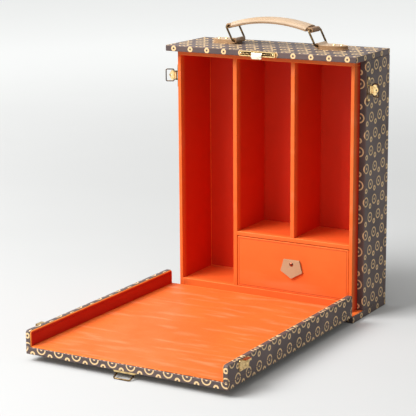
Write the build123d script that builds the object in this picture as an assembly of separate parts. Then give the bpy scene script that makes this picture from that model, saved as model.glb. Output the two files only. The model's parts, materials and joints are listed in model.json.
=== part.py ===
from build123d import *
import os
from math import asin, cos, degrees, radians, sin, tan

# An upright wine case in canvas and leather, standing with its front door lowered.
# Millimetres. X runs to the right, Y to the back, Z up.
# The origin is the centre of the base slab's underside.

os.makedirs("parts", exist_ok=True)

# Outer shell
case_width = 297.0
case_depth = 110.0
case_height = 368.0
base_thickness = 9.5
top_thickness = 8.5
side_wall_thickness = 10.0
back_wall_thickness = 8.0
front_overhang = 16.5
side_step = 17.0
board_edge_radius = 1.2
lined_edge_radius = 0.8

# Lined carcass inside the shell
carcass_wall = 5.0
carcass_top_thickness = 7.0
floor_top = 25.0
divider_thickness = 6.0
shelf_thickness = 6.0
shelf_top = 105.5
bottle_bay_width = 85.0
middle_bay_width = 85.0
back_lining_thickness = 2.0
ledge_lining_thickness = 0.8
ledge_lining_inset = 1.2

# Drawer under the glass shelf
drawer_front_thickness = 6.0
drawer_front_recess = 0.5
drawer_side_gap = 0.8
drawer_top_gap = 1.0
drawer_floor_gap = 0.3
drawer_side_thickness = 4.0
drawer_bottom_thickness = 3.0
drawer_side_height = 58.0
drawer_back_gap = 4.0

# Pointed leather tab on the drawer
tab_top_width = 25.0
tab_wide_width = 34.5
tab_height = 27.5
tab_shoulder_drop = 17.5
tab_thickness = 2.4
tab_top_level = 74.3
tab_edge_radius = 0.4
tab_corner_radius = 0.8
rivet_radius = 3.0
rivet_shank_radius = 1.4
rivet_head_height = 1.5
rivet_drop = 6.5
rivet_clearance = 0.05

# Drop-down door
door_board_thickness = 9.5
door_lining_thickness = 1.5
door_lining_inset = 1.5
lip_thickness = 7.0
lip_lining_thickness = 1.0
lip_lining_inset = 0.6
lip_height = 31.5
lip_corner_radius = 4.0
hinge_gap = 2.0
door_top_gap = 1.0
hinge_strip_thickness = 0.8
hinge_strip_width = 22.0
hinge_strip_case_width = 7.0
hinge_strip_end_inset = 6.0
end_lining_thickness = 0.8

# Handle on the top slab
handle_y = 8.5
ring_pivot_half_span = 65.0
ring_bar_radius = 1.4
ring_height = 23.0
ring_width = 36.0
ring_corner_radius = 2.6
ring_lean = 27.0
strap_thickness = 2.2
strap_neck_angle = 18.0
strap_neck_reach = 4.0
strap_clearance = 0.06
strap_width = 27.0
pad_thickness = 1.4
pad_margin = 1.2
tab_straight_share = 0.25
strap_reach = 37.0
stud_radius = 2.6
stud_height = 1.8
stud_offsets = (20.0, 31.5)
grip_rise = 10.0
grip_cover_width = 30.0
grip_cover_thickness = 8.4
grip_cover_rounding = 3.5
grip_cover_end_gap = 6.0
grip_core_width = 24.0
grip_core_thickness = 3.6
grip_core_rounding = 1.2
grip_fit = 0.1

# Draw latches on the side walls
latch_drop = 48.0
latch_setback = 3.0
latch_plate_shift = 2.2
latch_plate_height = 36.0
latch_plate_width = 9.0
latch_plate_thickness = 1.2
latch_plate_corner = 4.0
latch_pin_standoff = 5.2
latch_pin_radius = 1.0
latch_pin_overhang = 0.6
latch_knuckle_radius = 1.9
latch_ear_inner = 5.0
latch_ear_thickness = 1.4
latch_ear_clearance = 0.15
latch_knuckle_clearance = 0.1
latch_rivet_offset = 14.6
latch_rivet_radius = 2.0
latch_rivet_height = 1.1
lever_loop_offset = 3.3
lever_length = 11.0
lever_half_height = 7.2
lever_root_share = 0.72
lever_waist_share = 0.55
lever_swell_share = 0.5
lever_draw_in_share = 0.8
lever_plate_thickness = 1.4
lever_boss_wall = 0.8
lever_hole_radius = 1.3
lever_hole_share = 0.72
loop_wire_radius = 0.8
loop_width = 17.2
loop_corner_radius = 1.8
loop_lean = 25.0
pin_fit = 0.05
keeper_length = 24.0
keeper_height = 14.0
keeper_thickness = 1.1
keeper_corner_radius = 2.0
keeper_hook_width = 13.0
keeper_hook_thickness = 1.0
keeper_hook_curl = 2.8
keeper_slack = 0.15
keeper_tip_gap = 0.3
keeper_rivet_radius = 1.5
keeper_rivet_height = 0.8
keeper_rivet_inset = 3.6

# Front clasp: a sprung hook on the top slab and a wire bail on the door
clasp_frame_width = 56.0
clasp_frame_height = 7.2
clasp_frame_depth = 3.2
clasp_frame_rim = 1.2
clasp_frame_back = 0.9
clasp_frame_end = 5.5
clasp_frame_corner = 1.0
clasp_pin_radius = 0.8
clasp_pin_grip = 0.8
clasp_screw_offset = 25.0
clasp_screw_radius = 1.5
clasp_screw_height = 0.7
hook_width = 15.6
hook_barrel_radius = 1.6
hook_barrel_gap = 0.3
hook_side_gap = 0.4
hook_tongue_corner = 1.6
hook_drop = 6.8
hook_plate_thickness = 1.4
hook_nose_reach = 9.4
hook_nose_thickness = 1.3
hook_nose_drop = 2.2
hook_nose_corner = 2.4
bail_wire_radius = 1.1
bail_width = 24.4
bail_length = 15.0
bail_corner_radius = 3.0
bail_barrel_radius = 2.3
bail_barrel_length = 17.0
bail_barrel_setback = 9.0
clasp_plate_width = 36.0
clasp_plate_length = 13.0
clasp_plate_thickness = 1.4
clasp_plate_setback = 2.2
clasp_plate_corner = 2.4
clasp_stop_width = 3.0
clasp_stop_inset = 2.6
clasp_plate_screw_offset = 14.4
clasp_plate_screw_radius = 2.0
clasp_plate_screw_inset = 5.6
screw_head_height = 1.1

seat_gap = 0.05
cut_margin = 1.0

# Places that follow from the sizes above
half_width = case_width / 2
front = -case_depth / 2
back = case_depth / 2
carcass_front = front + front_overhang
side_front = carcass_front + side_step
carcass_back = back - back_wall_thickness
wall_inner = half_width - side_wall_thickness
bay_right = wall_inner - carcass_wall
bay_left = -bay_right
slab_top = base_thickness
top_under = case_height - top_thickness
carcass_ceiling = top_under - carcass_top_thickness
divider_left_x = bay_left + bottle_bay_width
divider_right_x = divider_left_x + divider_thickness + middle_bay_width
shelf_left_x = divider_left_x + divider_thickness
shelf_under = shelf_top - shelf_thickness
back_lining_front = carcass_back - back_lining_thickness

door_hinge_end = front - hinge_gap
door_length = top_under - slab_top - hinge_gap - door_top_gap
door_free_end = door_hinge_end - door_length
door_under = slab_top
door_board_top = door_under + door_board_thickness
door_lining_top = door_board_top + door_lining_thickness
lip_top = door_under + lip_height
lip_inner = half_width - lip_thickness
lip_lining_inner = lip_inner - lip_lining_thickness

strap_outer_radius = ring_bar_radius + strap_clearance + strap_thickness
ring_pivot_z = case_height + pad_thickness + strap_outer_radius
lean_shift = ring_height * sin(radians(ring_lean))
lean_rise = ring_height * cos(radians(ring_lean))
grip_pivot_z = ring_pivot_z + lean_rise
grip_radius = (ring_pivot_half_span**2 + grip_rise**2) / (2 * grip_rise)
bail_barrel_y = door_free_end + bail_barrel_setback
bail_barrel_z = door_under - bail_barrel_radius
bail_slope = degrees(asin((bail_barrel_z - bail_wire_radius) / bail_length))
latch_pin_y = side_front + latch_setback
latch_pin_x = half_width + latch_pin_standoff
latch_plate_y = latch_pin_y + latch_plate_shift
latch_level = case_height - latch_drop
keeper_y = front - (latch_level - slab_top)
keeper_top = lip_top - board_edge_radius
keeper_arm_closed = front + keeper_top - keeper_hook_thickness - door_under
keeper_hook_reach = latch_pin_standoff + loop_wire_radius + keeper_tip_gap + keeper_hook_thickness
loop_length = latch_pin_y + lever_loop_offset - keeper_arm_closed + loop_wire_radius + keeper_slack
clasp_z = (case_height + top_under) / 2
hook_pin_y = front - clasp_frame_back - hook_barrel_radius - hook_barrel_gap


on_end = (Align.CENTER, Align.CENTER, Align.MIN)


def block(x_range, y_range, z_range):
    """A plain block between two corners."""
    size = [high - low for low, high in (x_range, y_range, z_range)]
    middle = [(high + low) / 2 for low, high in (x_range, y_range, z_range)]
    return Pos(*middle) * Box(*size)


def board(x_range, y_range, z_range, radius=board_edge_radius):
    """A covered board with all its edges softened by the cover."""
    solid = block(x_range, y_range, z_range)
    return fillet(solid.edges(), radius)


def rod(start, end, radius):
    """A round rod between two points."""
    axis = Vector(*end) - Vector(*start)
    return Plane(origin=start, z_dir=axis) * Cylinder(radius, axis.length, align=on_end)


def dome(place, radius, height, direction):
    """A low domed head on a face, with its flat side at place."""
    sphere_radius = (radius**2 + height**2) / (2 * height)
    plane = Plane(origin=place, z_dir=direction)
    ball = plane * Pos(0, 0, height - sphere_radius) * Sphere(sphere_radius)
    cap = plane * Cylinder(radius + cut_margin, height, align=on_end)
    return ball & cap


def wire_ring(plane, length, width, corner, radius):
    """A closed wire frame: one side on the plane's X axis, the other at Y = length."""
    outline = Pos(0, length / 2) * RectangleRounded(width, length, corner)
    path = plane * outline.wire()
    section = Plane(origin=path @ 0, z_dir=path % 0) * Circle(radius)
    return sweep(section.face(), path=path)


def mirrored(solid):
    """The same piece on the other side of the case."""
    return mirror(solid, about=Plane.YZ)


def save(name, *solids):
    """Write one node, whatever number of separate solids it holds."""
    shape = solids[0] if len(solids) == 1 else Compound(children=list(solids))
    export_step(shape, f"parts/{name}.step")


# Shell boards
def make_shell():
    """The canvas-covered boards that make the outer box."""
    across = (-half_width, half_width)
    wall_height = (slab_top, top_under)
    base = board(across, (front, back), (0, slab_top))
    strip_room = block(
        (-half_width + hinge_strip_end_inset, half_width - hinge_strip_end_inset),
        (front - cut_margin, front + hinge_strip_thickness),
        (slab_top - hinge_strip_case_width, slab_top + cut_margin))
    save("base_slab", base - strip_room)
    save("top_slab", board(across, (front, back), (top_under, case_height)))
    save("back_wall", board(across, (carcass_back, back), wall_height))
    side = board((wall_inner, half_width), (side_front, carcass_back), wall_height)
    save("side_wall_right", side)
    save("side_wall_left", mirrored(side))


# Lined carcass boards
def make_carcass():
    """The lined boards inside the shell, with the bays for the bottle and the glasses."""
    depth = (carcass_front, carcass_back)
    bay_depth = (carcass_front, back_lining_front)
    inside = (bay_left, bay_right)
    wall = board((bay_right, wall_inner), depth, (slab_top, carcass_ceiling), lined_edge_radius)
    save("carcass_wall_right", wall)
    save("carcass_wall_left", mirrored(wall))
    ceiling_board = board((-wall_inner, wall_inner), depth, (carcass_ceiling, top_under), lined_edge_radius)
    save("carcass_top", ceiling_board)
    save("floor_board", board(inside, depth, (slab_top, floor_top), lined_edge_radius))
    save("back_lining", block(inside, (back_lining_front, carcass_back), (floor_top, carcass_ceiling)))
    save("divider_left", board(
        (divider_left_x, divider_left_x + divider_thickness), bay_depth, (floor_top, carcass_ceiling),
        lined_edge_radius))
    save("divider_right", board(
        (divider_right_x, divider_right_x + divider_thickness), bay_depth, (shelf_top, carcass_ceiling),
        lined_edge_radius))
    shelf = board((shelf_left_x, bay_right), bay_depth, (shelf_under, shelf_top), lined_edge_radius)
    save("glass_shelf", shelf)


def make_ledge_lining():
    """The thin lining on the slab's ledge, round the front and both steps of the carcass."""
    level = (slab_top, slab_top + ledge_lining_thickness)
    edge = half_width - ledge_lining_inset
    strip = block((-edge, edge), (front + ledge_lining_inset, carcass_front), level)
    step = block((wall_inner, edge), (carcass_front, side_front), level)
    save("ledge_lining", strip + step + mirrored(step))


# Door
def make_door_board():
    """The canvas board of the door, lying open, with its rebate for the hinge strip."""
    across = (-half_width, half_width)
    panel = board(across, (door_free_end, door_hinge_end), (door_under, door_board_top))
    strip_room = block(
        (-half_width + hinge_strip_end_inset, half_width - hinge_strip_end_inset),
        (door_hinge_end - hinge_strip_width, door_hinge_end + cut_margin),
        (door_under - cut_margin, door_under + hinge_strip_thickness))
    save("door_board", panel - strip_room)


def make_door_lips():
    """The two side lips that cover the carcass steps, with their linings."""
    lip = block((lip_inner, half_width), (door_free_end, door_hinge_end), (door_board_top, lip_top))
    upper = lip.edges().filter_by(Axis.X).group_by(Axis.Z)[-1]
    lip = fillet(upper, lip_corner_radius)
    rim = lip.faces().filter_by(Axis.X).edges()
    free = [edge for edge in rim if edge.center().Z > door_board_top + seat_gap]
    lip = fillet(free, board_edge_radius)
    save("door_lip_right", lip)
    save("door_lip_left", mirrored(lip))
    lining = block(
        (lip_lining_inner, lip_inner),
        (door_free_end + lip_lining_inset, door_hinge_end - lip_lining_inset),
        (door_board_top, lip_top - lip_lining_inset))
    upper = lining.edges().filter_by(Axis.X).group_by(Axis.Z)[-1]
    lining = fillet(upper, lip_corner_radius)
    save("lip_lining_right", lining)
    save("lip_lining_left", mirrored(lining))


def make_door_lining():
    """The padded sheet on the door's inner face, and the thin one on its hinge end."""
    sheet = block(
        (-lip_lining_inner, lip_lining_inner),
        (door_free_end + door_lining_inset, door_hinge_end),
        (door_board_top, door_lining_top))
    top_edges = sheet.edges().group_by(Axis.Z)[-1]
    save("door_lining", fillet(top_edges, door_lining_thickness / 2))
    save("door_end_lining", block(
        (-half_width + hinge_strip_end_inset, half_width - hinge_strip_end_inset),
        (door_hinge_end, door_hinge_end + end_lining_thickness),
        (door_under + board_edge_radius, door_lining_top)))


def make_hinge_strips():
    """The two leaves of the canvas hinge, which fold along the slab's upper front edge."""
    across = (-half_width + hinge_strip_end_inset, half_width - hinge_strip_end_inset)
    case_leaf = block(
        across,
        (front, front + hinge_strip_thickness),
        (slab_top - hinge_strip_case_width, slab_top))
    door_leaf = block(
        across,
        (door_hinge_end - hinge_strip_width, front),
        (door_under, door_under + hinge_strip_thickness))
    save("hinge_strip_case", case_leaf)
    save("hinge_strip_door", door_leaf)


# Drawer
def make_drawer():
    """An open box under the glass shelf, with a leather tab to pull it by."""
    left = shelf_left_x + drawer_side_gap
    right = bay_right - drawer_side_gap
    bottom = floor_top + drawer_floor_gap
    top = shelf_under - drawer_top_gap
    face = carcass_front + drawer_front_recess
    inner = face + drawer_front_thickness
    rear = back_lining_front - drawer_back_gap
    front_board = board((left, right), (face, inner), (bottom, top), lined_edge_radius)
    shank_y = face - tab_thickness
    centre = (left + right) / 2
    rivet_z = tab_top_level - rivet_drop
    hole_radius = rivet_shank_radius + rivet_clearance
    shank_hole = rod((centre, shank_y - cut_margin, rivet_z), (centre, inner, rivet_z), hole_radius)
    save("drawer_front", front_board - shank_hole)
    side_top = bottom + drawer_side_height
    side = block((right - drawer_side_thickness, right), (inner, rear), (bottom, side_top))
    save("drawer_side_right", side)
    save("drawer_side_left", side.moved(Pos(left - right + drawer_side_thickness, 0, 0)))
    within = (left + drawer_side_thickness, right - drawer_side_thickness)
    save("drawer_bottom", block(within, (inner, rear), (bottom, bottom + drawer_bottom_thickness)))
    save("drawer_back", block(
        within, (rear - drawer_side_thickness, rear), (bottom + drawer_bottom_thickness, side_top)))
    save("pull_tab", make_pull_tab(centre, face) - shank_hole)
    head = dome((centre, shank_y, rivet_z), rivet_radius, rivet_head_height, (0, -1, 0))
    shank = rod((centre, shank_y, rivet_z), (centre, inner, rivet_z), rivet_shank_radius)
    save("pull_tab_rivet", head + shank)


def make_pull_tab(centre, face):
    """The five-sided leather tab, point down, flat on the drawer's front."""
    top = tab_top_level
    corners = [
        (centre - tab_top_width / 2, top),
        (centre + tab_top_width / 2, top),
        (centre + tab_wide_width / 2, top - tab_shoulder_drop),
        (centre, top - tab_height),
        (centre - tab_wide_width / 2, top - tab_shoulder_drop)]
    outline = make_face(Polyline(*corners, close=True))
    outline = fillet(outline.vertices(), tab_corner_radius)
    plane = Plane(origin=(0, face, 0), x_dir=(1, 0, 0), z_dir=(0, -1, 0))
    tab = extrude(plane * outline, tab_thickness)
    return fillet(tab.edges().group_by(Axis.Y)[0], tab_edge_radius)


# Handle
def strap_profile():
    """Side view of a base strap: a loop round the bar, then two layers running outward."""
    radius = strap_outer_radius
    tail = radius + strap_reach
    layers = 2 * strap_thickness
    neck = radians(strap_neck_angle)
    tongue = make_face(Polyline(
        (0, -radius),
        (tail, -radius),
        (tail, -radius + layers),
        (radius + strap_neck_reach, -radius + layers),
        (radius * sin(neck), radius * cos(neck)),
        close=True))
    return Circle(radius) + tongue - Circle(ring_bar_radius + strap_clearance)


def tab_plan(reach, width):
    """Plan of a base tab: square at the loop, half an ellipse at the outer end."""
    straight = reach * tab_straight_share
    oval = Ellipse(reach - straight, width / 2) & Pos(reach / 2, 0) * Rectangle(reach, width)
    return Pos(straight, 0) * oval + Pos(straight / 2, 0) * Rectangle(straight, width)


def make_handle_mounts():
    """The layered leather tabs on the top slab that hold the rings, and their studs."""
    pivot = Pos(ring_pivot_half_span, handle_y, ring_pivot_z)
    profile = Plane.XZ * strap_profile()
    strap = extrude(profile, strap_width / 2, both=True)
    plan = tab_plan(strap_outer_radius + strap_reach, strap_width)
    keep = extrude(plan, 2 * strap_outer_radius, both=True)
    loop_room = Rot(90, 0, 0) * Cylinder(strap_outer_radius + cut_margin, strap_width)
    strap = pivot * (strap & (keep + loop_room))
    save("handle_strap_right", strap)
    save("handle_strap_left", mirrored(strap))
    pad_reach = strap_outer_radius + strap_reach + pad_margin
    pad_face = tab_plan(pad_reach, strap_width + 2 * pad_margin)
    pad = Pos(ring_pivot_half_span, handle_y, case_height) * extrude(pad_face, pad_thickness)
    save("handle_pad_right", pad)
    save("handle_pad_left", mirrored(pad))
    stud_z = case_height + pad_thickness + 2 * strap_thickness
    studs = []
    for offset in stud_offsets:
        place = (ring_pivot_half_span + offset, handle_y, stud_z)
        studs.append(dome(place, stud_radius, stud_height, (0, 0, 1)))
    save("handle_studs", *studs, *[mirrored(stud) for stud in studs])


def make_ring(side):
    """One rectangular wire ring, leaning to the left as the photograph shows it."""
    x = side * ring_pivot_half_span
    up = Vector(-sin(radians(ring_lean)), 0, cos(radians(ring_lean)))
    across = Vector(0, 1, 0)
    plane = Plane(origin=(x, handle_y, ring_pivot_z), x_dir=across, z_dir=across.cross(up))
    return wire_ring(plane, ring_height, ring_width, ring_corner_radius, ring_bar_radius)


def grip_point(angle):
    """A point on the grip's middle line, at an angle from the top of its arch."""
    centre_z = grip_pivot_z + grip_rise - grip_radius
    return (-lean_shift + grip_radius * sin(angle), handle_y, centre_z + grip_radius * cos(angle))


def grip_bar(half_angle, width, thickness, rounding):
    """A bar bent along the grip's arch."""
    path = ThreePointArc(grip_point(-half_angle), grip_point(0), grip_point(half_angle))
    plane = Plane(origin=path @ 0, x_dir=(0, 1, 0), z_dir=path % 0)
    return sweep(plane * RectangleRounded(width, thickness, rounding), path=path)


def make_grip():
    """The grip: a leather strap looped round both rings, inside a thick stitched cover."""
    loop_angle = asin(ring_pivot_half_span / grip_radius)
    bar_space = ring_bar_radius + strap_clearance
    cover_angle = loop_angle - grip_cover_end_gap / grip_radius
    core_angle = loop_angle - (bar_space + strap_thickness / 2) / grip_radius
    core = grip_bar(core_angle, grip_core_width, grip_core_thickness, grip_core_rounding)
    ends = [Pos(*grip_point(angle)) * Rot(90, 0, 0) for angle in (-loop_angle, loop_angle)]
    for end in ends:
        core = core + end * Cylinder(bar_space + strap_thickness, grip_core_width)
    for end in ends:
        core = core - end * Cylinder(bar_space, grip_core_width + 2 * cut_margin)
    save("grip_strap", core)
    cover = grip_bar(cover_angle, grip_cover_width, grip_cover_thickness, grip_cover_rounding)
    room_width = grip_core_width + 2 * grip_fit
    room_height = grip_core_thickness + 2 * grip_fit
    room = grip_bar(loop_angle, room_width, room_height, grip_core_rounding)
    save("grip_cover", cover - room)


# Side latches, drawn on the right-hand wall
def latch_rod(x, low, high, radius):
    """An upright rod in the latch's plane, between two heights about the latch's middle."""
    return rod((x, latch_pin_y, latch_level + low), (x, latch_pin_y, latch_level + high), radius)


def make_latch_base():
    """The riveted plate of a draw latch, with its two ears and the pin through them."""
    face = Plane(origin=(half_width, latch_plate_y, latch_level), x_dir=(0, 1, 0), z_dir=(1, 0, 0))
    outline = RectangleRounded(latch_plate_width, latch_plate_height, latch_plate_corner)
    plate = extrude(face * outline, latch_plate_thickness)
    plate_middle = half_width + latch_plate_thickness / 2
    outer = latch_ear_inner + latch_ear_thickness
    ear_width = (latch_pin_y - latch_knuckle_radius, latch_pin_y + latch_knuckle_radius)
    for low, high in ((-outer, -latch_ear_inner), (latch_ear_inner, outer)):
        web = block((plate_middle, latch_pin_x), ear_width, (latch_level + low, latch_level + high))
        plate = plate + latch_rod(latch_pin_x, low, high, latch_knuckle_radius) + web
    reach = outer + latch_pin_overhang
    pin = latch_rod(latch_pin_x, -reach, reach, latch_pin_radius)
    return plate - pin, pin


def lever_outline():
    """Face of the lever: square at its root, swelling, then drawn in to a point."""
    root = latch_knuckle_radius + latch_knuckle_clearance
    half = lever_half_height
    swell = lever_length * lever_swell_share
    draw_in = lever_length * lever_draw_in_share
    waist = half * lever_waist_share
    root_half = half * lever_root_share
    nose = Spline(
        (swell, half), (draw_in, waist), (lever_length, 0), (draw_in, -waist), (swell, -half),
        tangents=((1, 0.1), (-1, 0.1)))
    rear = Polyline((swell, -half), (root, -root_half), (root, root_half), (swell, half))
    return make_face(Wire([*nose.edges(), *rear.edges()]))


def make_lever():
    """The latch lever, standing square to the wall, with a cross hole for the loop."""
    face = Plane(origin=(latch_pin_x, latch_pin_y, latch_level), x_dir=(1, 0, 0), z_dir=(0, -1, 0))
    half_plate = lever_plate_thickness / 2
    plate = extrude(face * lever_outline(), half_plate, both=True)
    clear = latch_ear_inner - latch_ear_clearance
    boss_x = latch_pin_x + lever_loop_offset
    web = block(
        (latch_pin_x, boss_x),
        (latch_pin_y - half_plate, latch_pin_y + half_plate),
        (latch_level - clear, latch_level + clear))
    barrel = latch_rod(latch_pin_x, -clear, clear, latch_knuckle_radius - latch_knuckle_clearance)
    boss = latch_rod(boss_x, -clear, clear, loop_wire_radius + lever_boss_wall)
    far = lever_half_height + cut_margin
    pin_room = latch_rod(latch_pin_x, -far, far, latch_pin_radius + pin_fit)
    loop_room = latch_rod(boss_x, -far, far, loop_wire_radius + pin_fit)
    eye_x = latch_pin_x + lever_length * lever_hole_share
    eye_front = latch_pin_y - lever_plate_thickness
    eye_back = latch_pin_y + lever_plate_thickness
    eye = rod((eye_x, eye_front, latch_level), (eye_x, eye_back, latch_level), lever_hole_radius)
    return plate + barrel + web + boss - pin_room - loop_room - eye


def make_latch_loop():
    """The wire loop carried by the lever, which hooks over the keeper on the door."""
    lean = radians(loop_lean)
    outward = Vector(cos(lean), -sin(lean), 0)
    origin = (latch_pin_x + lever_loop_offset, latch_pin_y, latch_level)
    plane = Plane(origin=origin, x_dir=(0, 0, 1), z_dir=Vector(0, 0, 1).cross(outward))
    return wire_ring(plane, loop_length, loop_width, loop_corner_radius, loop_wire_radius)


def make_keeper():
    """The hooked keeper plate near the top edge of a door lip."""
    low = keeper_top - keeper_height
    reach = (half_width, half_width + keeper_thickness)
    span = (keeper_y - keeper_length / 2, keeper_y + keeper_length / 2)
    plate = block(reach, span, (low, keeper_top))
    plate = fillet(plate.edges().filter_by(Axis.X), keeper_corner_radius)
    hook_span = (keeper_y - keeper_hook_width / 2, keeper_y + keeper_hook_width / 2)
    tip_x = half_width + keeper_hook_reach
    tip_depth = (tip_x - keeper_hook_thickness, tip_x)
    arm = block((half_width, tip_x), hook_span, (keeper_top - keeper_hook_thickness, keeper_top))
    tip = block(tip_depth, hook_span, (keeper_top - keeper_hook_curl, keeper_top))
    return plate + arm + tip


def make_side_latches():
    """Both draw latches with their keepers, pins and rivets."""
    base, pin = make_latch_base()
    lever = make_lever()
    loop = make_latch_loop()
    keeper = make_keeper()
    plate_face = half_width + latch_plate_thickness
    keeper_face = half_width + keeper_thickness
    keeper_rivet_z = keeper_top - keeper_height + keeper_rivet_inset
    keeper_rivet_offset = keeper_length / 2 - keeper_rivet_inset
    rivets = []
    keeper_rivets = []
    for side in (-1, 1):
        place = (plate_face, latch_plate_y, latch_level + side * latch_rivet_offset)
        rivets.append(dome(place, latch_rivet_radius, latch_rivet_height, (1, 0, 0)))
        place = (keeper_face, keeper_y + side * keeper_rivet_offset, keeper_rivet_z)
        keeper_rivets.append(dome(place, keeper_rivet_radius, keeper_rivet_height, (1, 0, 0)))
    pieces = {"latch_base": base, "latch_lever": lever, "latch_loop": loop, "lip_keeper": keeper}
    for name, solid in pieces.items():
        save(name + "_right", solid)
        save(name + "_left", mirrored(solid))
    save("latch_pins", pin, mirrored(pin))
    save("latch_rivets", *rivets, *[mirrored(rivet) for rivet in rivets])
    save("keeper_rivets", *keeper_rivets, *[mirrored(rivet) for rivet in keeper_rivets])


# Front clasp
def make_clasp_frame():
    """The tray-shaped brass frame let on to the top slab's front face, with its pin."""
    low = clasp_z - clasp_frame_height / 2
    high = clasp_z + clasp_frame_height / 2
    wide = clasp_frame_width / 2
    frame = block((-wide, wide), (front - clasp_frame_depth, front), (low, high))
    frame = fillet(frame.edges().filter_by(Axis.Y), clasp_frame_corner)
    inside = wide - clasp_frame_end
    depth = (front - clasp_frame_depth - cut_margin, front - clasp_frame_back)
    room = block((-inside, inside), depth, (low + clasp_frame_rim, high - clasp_frame_rim))
    slot = hook_width / 2 + hook_side_gap
    hook_room = block((-slot, slot), depth, (low - cut_margin, high + cut_margin))
    pin_end = inside + clasp_pin_grip
    pin = rod((-pin_end, hook_pin_y, clasp_z), (pin_end, hook_pin_y, clasp_z), clasp_pin_radius)
    save("clasp_frame", frame - room - hook_room - pin)
    save("clasp_pin", pin)
    screws = []
    for side in (-1, 1):
        place = (side * clasp_screw_offset, front - clasp_frame_depth, clasp_z)
        screws.append(dome(place, clasp_screw_radius, clasp_screw_height, (0, -1, 0)))
    save("clasp_screws", *screws)


def make_clasp_hook():
    """The bright hook that turns on the clasp pin and catches the door's bail."""
    half = hook_width / 2
    across = (-half, half)
    barrel = rod((-half, hook_pin_y, clasp_z), (half, hook_pin_y, clasp_z), hook_barrel_radius)
    face = hook_pin_y - hook_barrel_radius
    plate = block(across, (face, face + hook_plate_thickness), (clasp_z - hook_drop, clasp_z))
    plate = fillet(plate.edges().filter_by(Axis.Y).group_by(Axis.Z)[0], hook_tongue_corner)
    nose_top = clasp_z - hook_nose_drop
    nose_depth = (front - hook_nose_reach, face + hook_plate_thickness)
    nose = block(across, nose_depth, (nose_top - hook_nose_thickness, nose_top))
    nose = fillet(nose.edges().filter_by(Axis.Z).group_by(Axis.Y)[0], hook_nose_corner)
    far = half + cut_margin
    bore = rod((-far, hook_pin_y, clasp_z), (far, hook_pin_y, clasp_z), clasp_pin_radius + pin_fit)
    save("clasp_hook", barrel + plate + nose - bore)


def bail_rod(half_length, radius):
    """A rod along the bail's turning line, centred on the clasp."""
    place = (bail_barrel_y, bail_barrel_z)
    return rod((-half_length, *place), (half_length, *place), radius)


def make_door_clasp():
    """The plate under the door's free end, with its barrel, stop edge, screws and bail."""
    half = clasp_plate_width / 2
    near = door_free_end + clasp_plate_setback
    far = near + clasp_plate_length
    plate_under = door_under - clasp_plate_thickness
    plate = block((-half, half), (near, far), (plate_under, door_under))
    plate = fillet(plate.edges().filter_by(Axis.Z), clasp_plate_corner)
    slope = radians(bail_slope)
    stop_back = near + clasp_stop_width
    bail_drop = (bail_barrel_y - stop_back) * tan(slope)
    stop_under = bail_barrel_z - bail_drop + bail_wire_radius / cos(slope) + seat_gap
    stop_half = half - clasp_stop_inset
    stop = block((-stop_half, stop_half), (near, stop_back), (stop_under, door_under))
    barrel = bail_rod(bail_barrel_length / 2, bail_barrel_radius)
    bore = bail_rod(half, bail_wire_radius + pin_fit)
    save("door_clasp_plate", plate + barrel + stop - bore)
    outward = Vector(0, -cos(slope), -sin(slope))
    across = Vector(1, 0, 0)
    bail_plane = Plane(
        origin=(0, bail_barrel_y, bail_barrel_z), x_dir=across, z_dir=across.cross(outward))
    bail = wire_ring(bail_plane, bail_length, bail_width, bail_corner_radius, bail_wire_radius)
    save("door_clasp_bail", bail)
    screws = []
    for side in (-1, 1):
        place = (side * clasp_plate_screw_offset, far - clasp_plate_screw_inset, plate_under)
        screws.append(dome(place, clasp_plate_screw_radius, screw_head_height, (0, 0, -1)))
    save("door_clasp_screws", *screws)


make_shell()
make_carcass()
make_ledge_lining()
make_door_board()
make_door_lips()
make_door_lining()
make_hinge_strips()
make_drawer()
make_handle_mounts()
save("handle_ring_right", make_ring(1))
save("handle_ring_left", make_ring(-1))
make_grip()
make_side_latches()
make_clasp_frame()
make_clasp_hook()
make_door_clasp()

print("ring pivots at x +-", ring_pivot_half_span, "y", handle_y, "z", round(ring_pivot_z, 3))
print("grip pivot left", [round(v, 3) for v in grip_point(-asin(ring_pivot_half_span / grip_radius))])
print("latch pin x", latch_pin_x, "y", latch_pin_y, "loop length", round(loop_length, 3))
print("bail slope", round(bail_slope, 3))
print("bail barrel", bail_barrel_y, bail_barrel_z, "clasp pin", hook_pin_y, clasp_z)
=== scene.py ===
"""An upright wine case in printed canvas, orange leather and aged brass, with its front door lowered."""

import json
import logging
import math
from bisect import bisect_left
from collections.abc import Callable, Iterable
from dataclasses import dataclass, field, replace
from enum import Enum
from functools import cache, partial

import bmesh
import bpy
from mathutils import Matrix, Vector


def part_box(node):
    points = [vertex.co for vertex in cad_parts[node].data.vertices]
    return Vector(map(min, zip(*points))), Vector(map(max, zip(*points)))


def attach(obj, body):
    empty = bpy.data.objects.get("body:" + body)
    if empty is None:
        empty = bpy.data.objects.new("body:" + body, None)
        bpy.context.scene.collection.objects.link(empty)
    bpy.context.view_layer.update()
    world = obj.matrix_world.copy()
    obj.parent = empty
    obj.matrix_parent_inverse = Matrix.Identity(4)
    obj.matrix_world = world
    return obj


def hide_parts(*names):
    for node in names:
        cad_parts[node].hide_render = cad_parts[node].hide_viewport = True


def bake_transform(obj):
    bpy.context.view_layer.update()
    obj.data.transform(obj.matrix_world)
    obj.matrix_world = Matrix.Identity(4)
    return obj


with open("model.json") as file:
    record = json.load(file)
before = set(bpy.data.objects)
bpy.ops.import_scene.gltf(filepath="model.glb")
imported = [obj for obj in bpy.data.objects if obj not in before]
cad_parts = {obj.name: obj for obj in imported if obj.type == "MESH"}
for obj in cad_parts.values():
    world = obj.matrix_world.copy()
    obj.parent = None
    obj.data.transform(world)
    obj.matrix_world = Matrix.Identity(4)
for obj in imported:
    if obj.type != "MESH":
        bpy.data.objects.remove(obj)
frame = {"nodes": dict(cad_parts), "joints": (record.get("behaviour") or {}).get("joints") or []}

LOG = logging.getLogger("wine_case")
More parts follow.
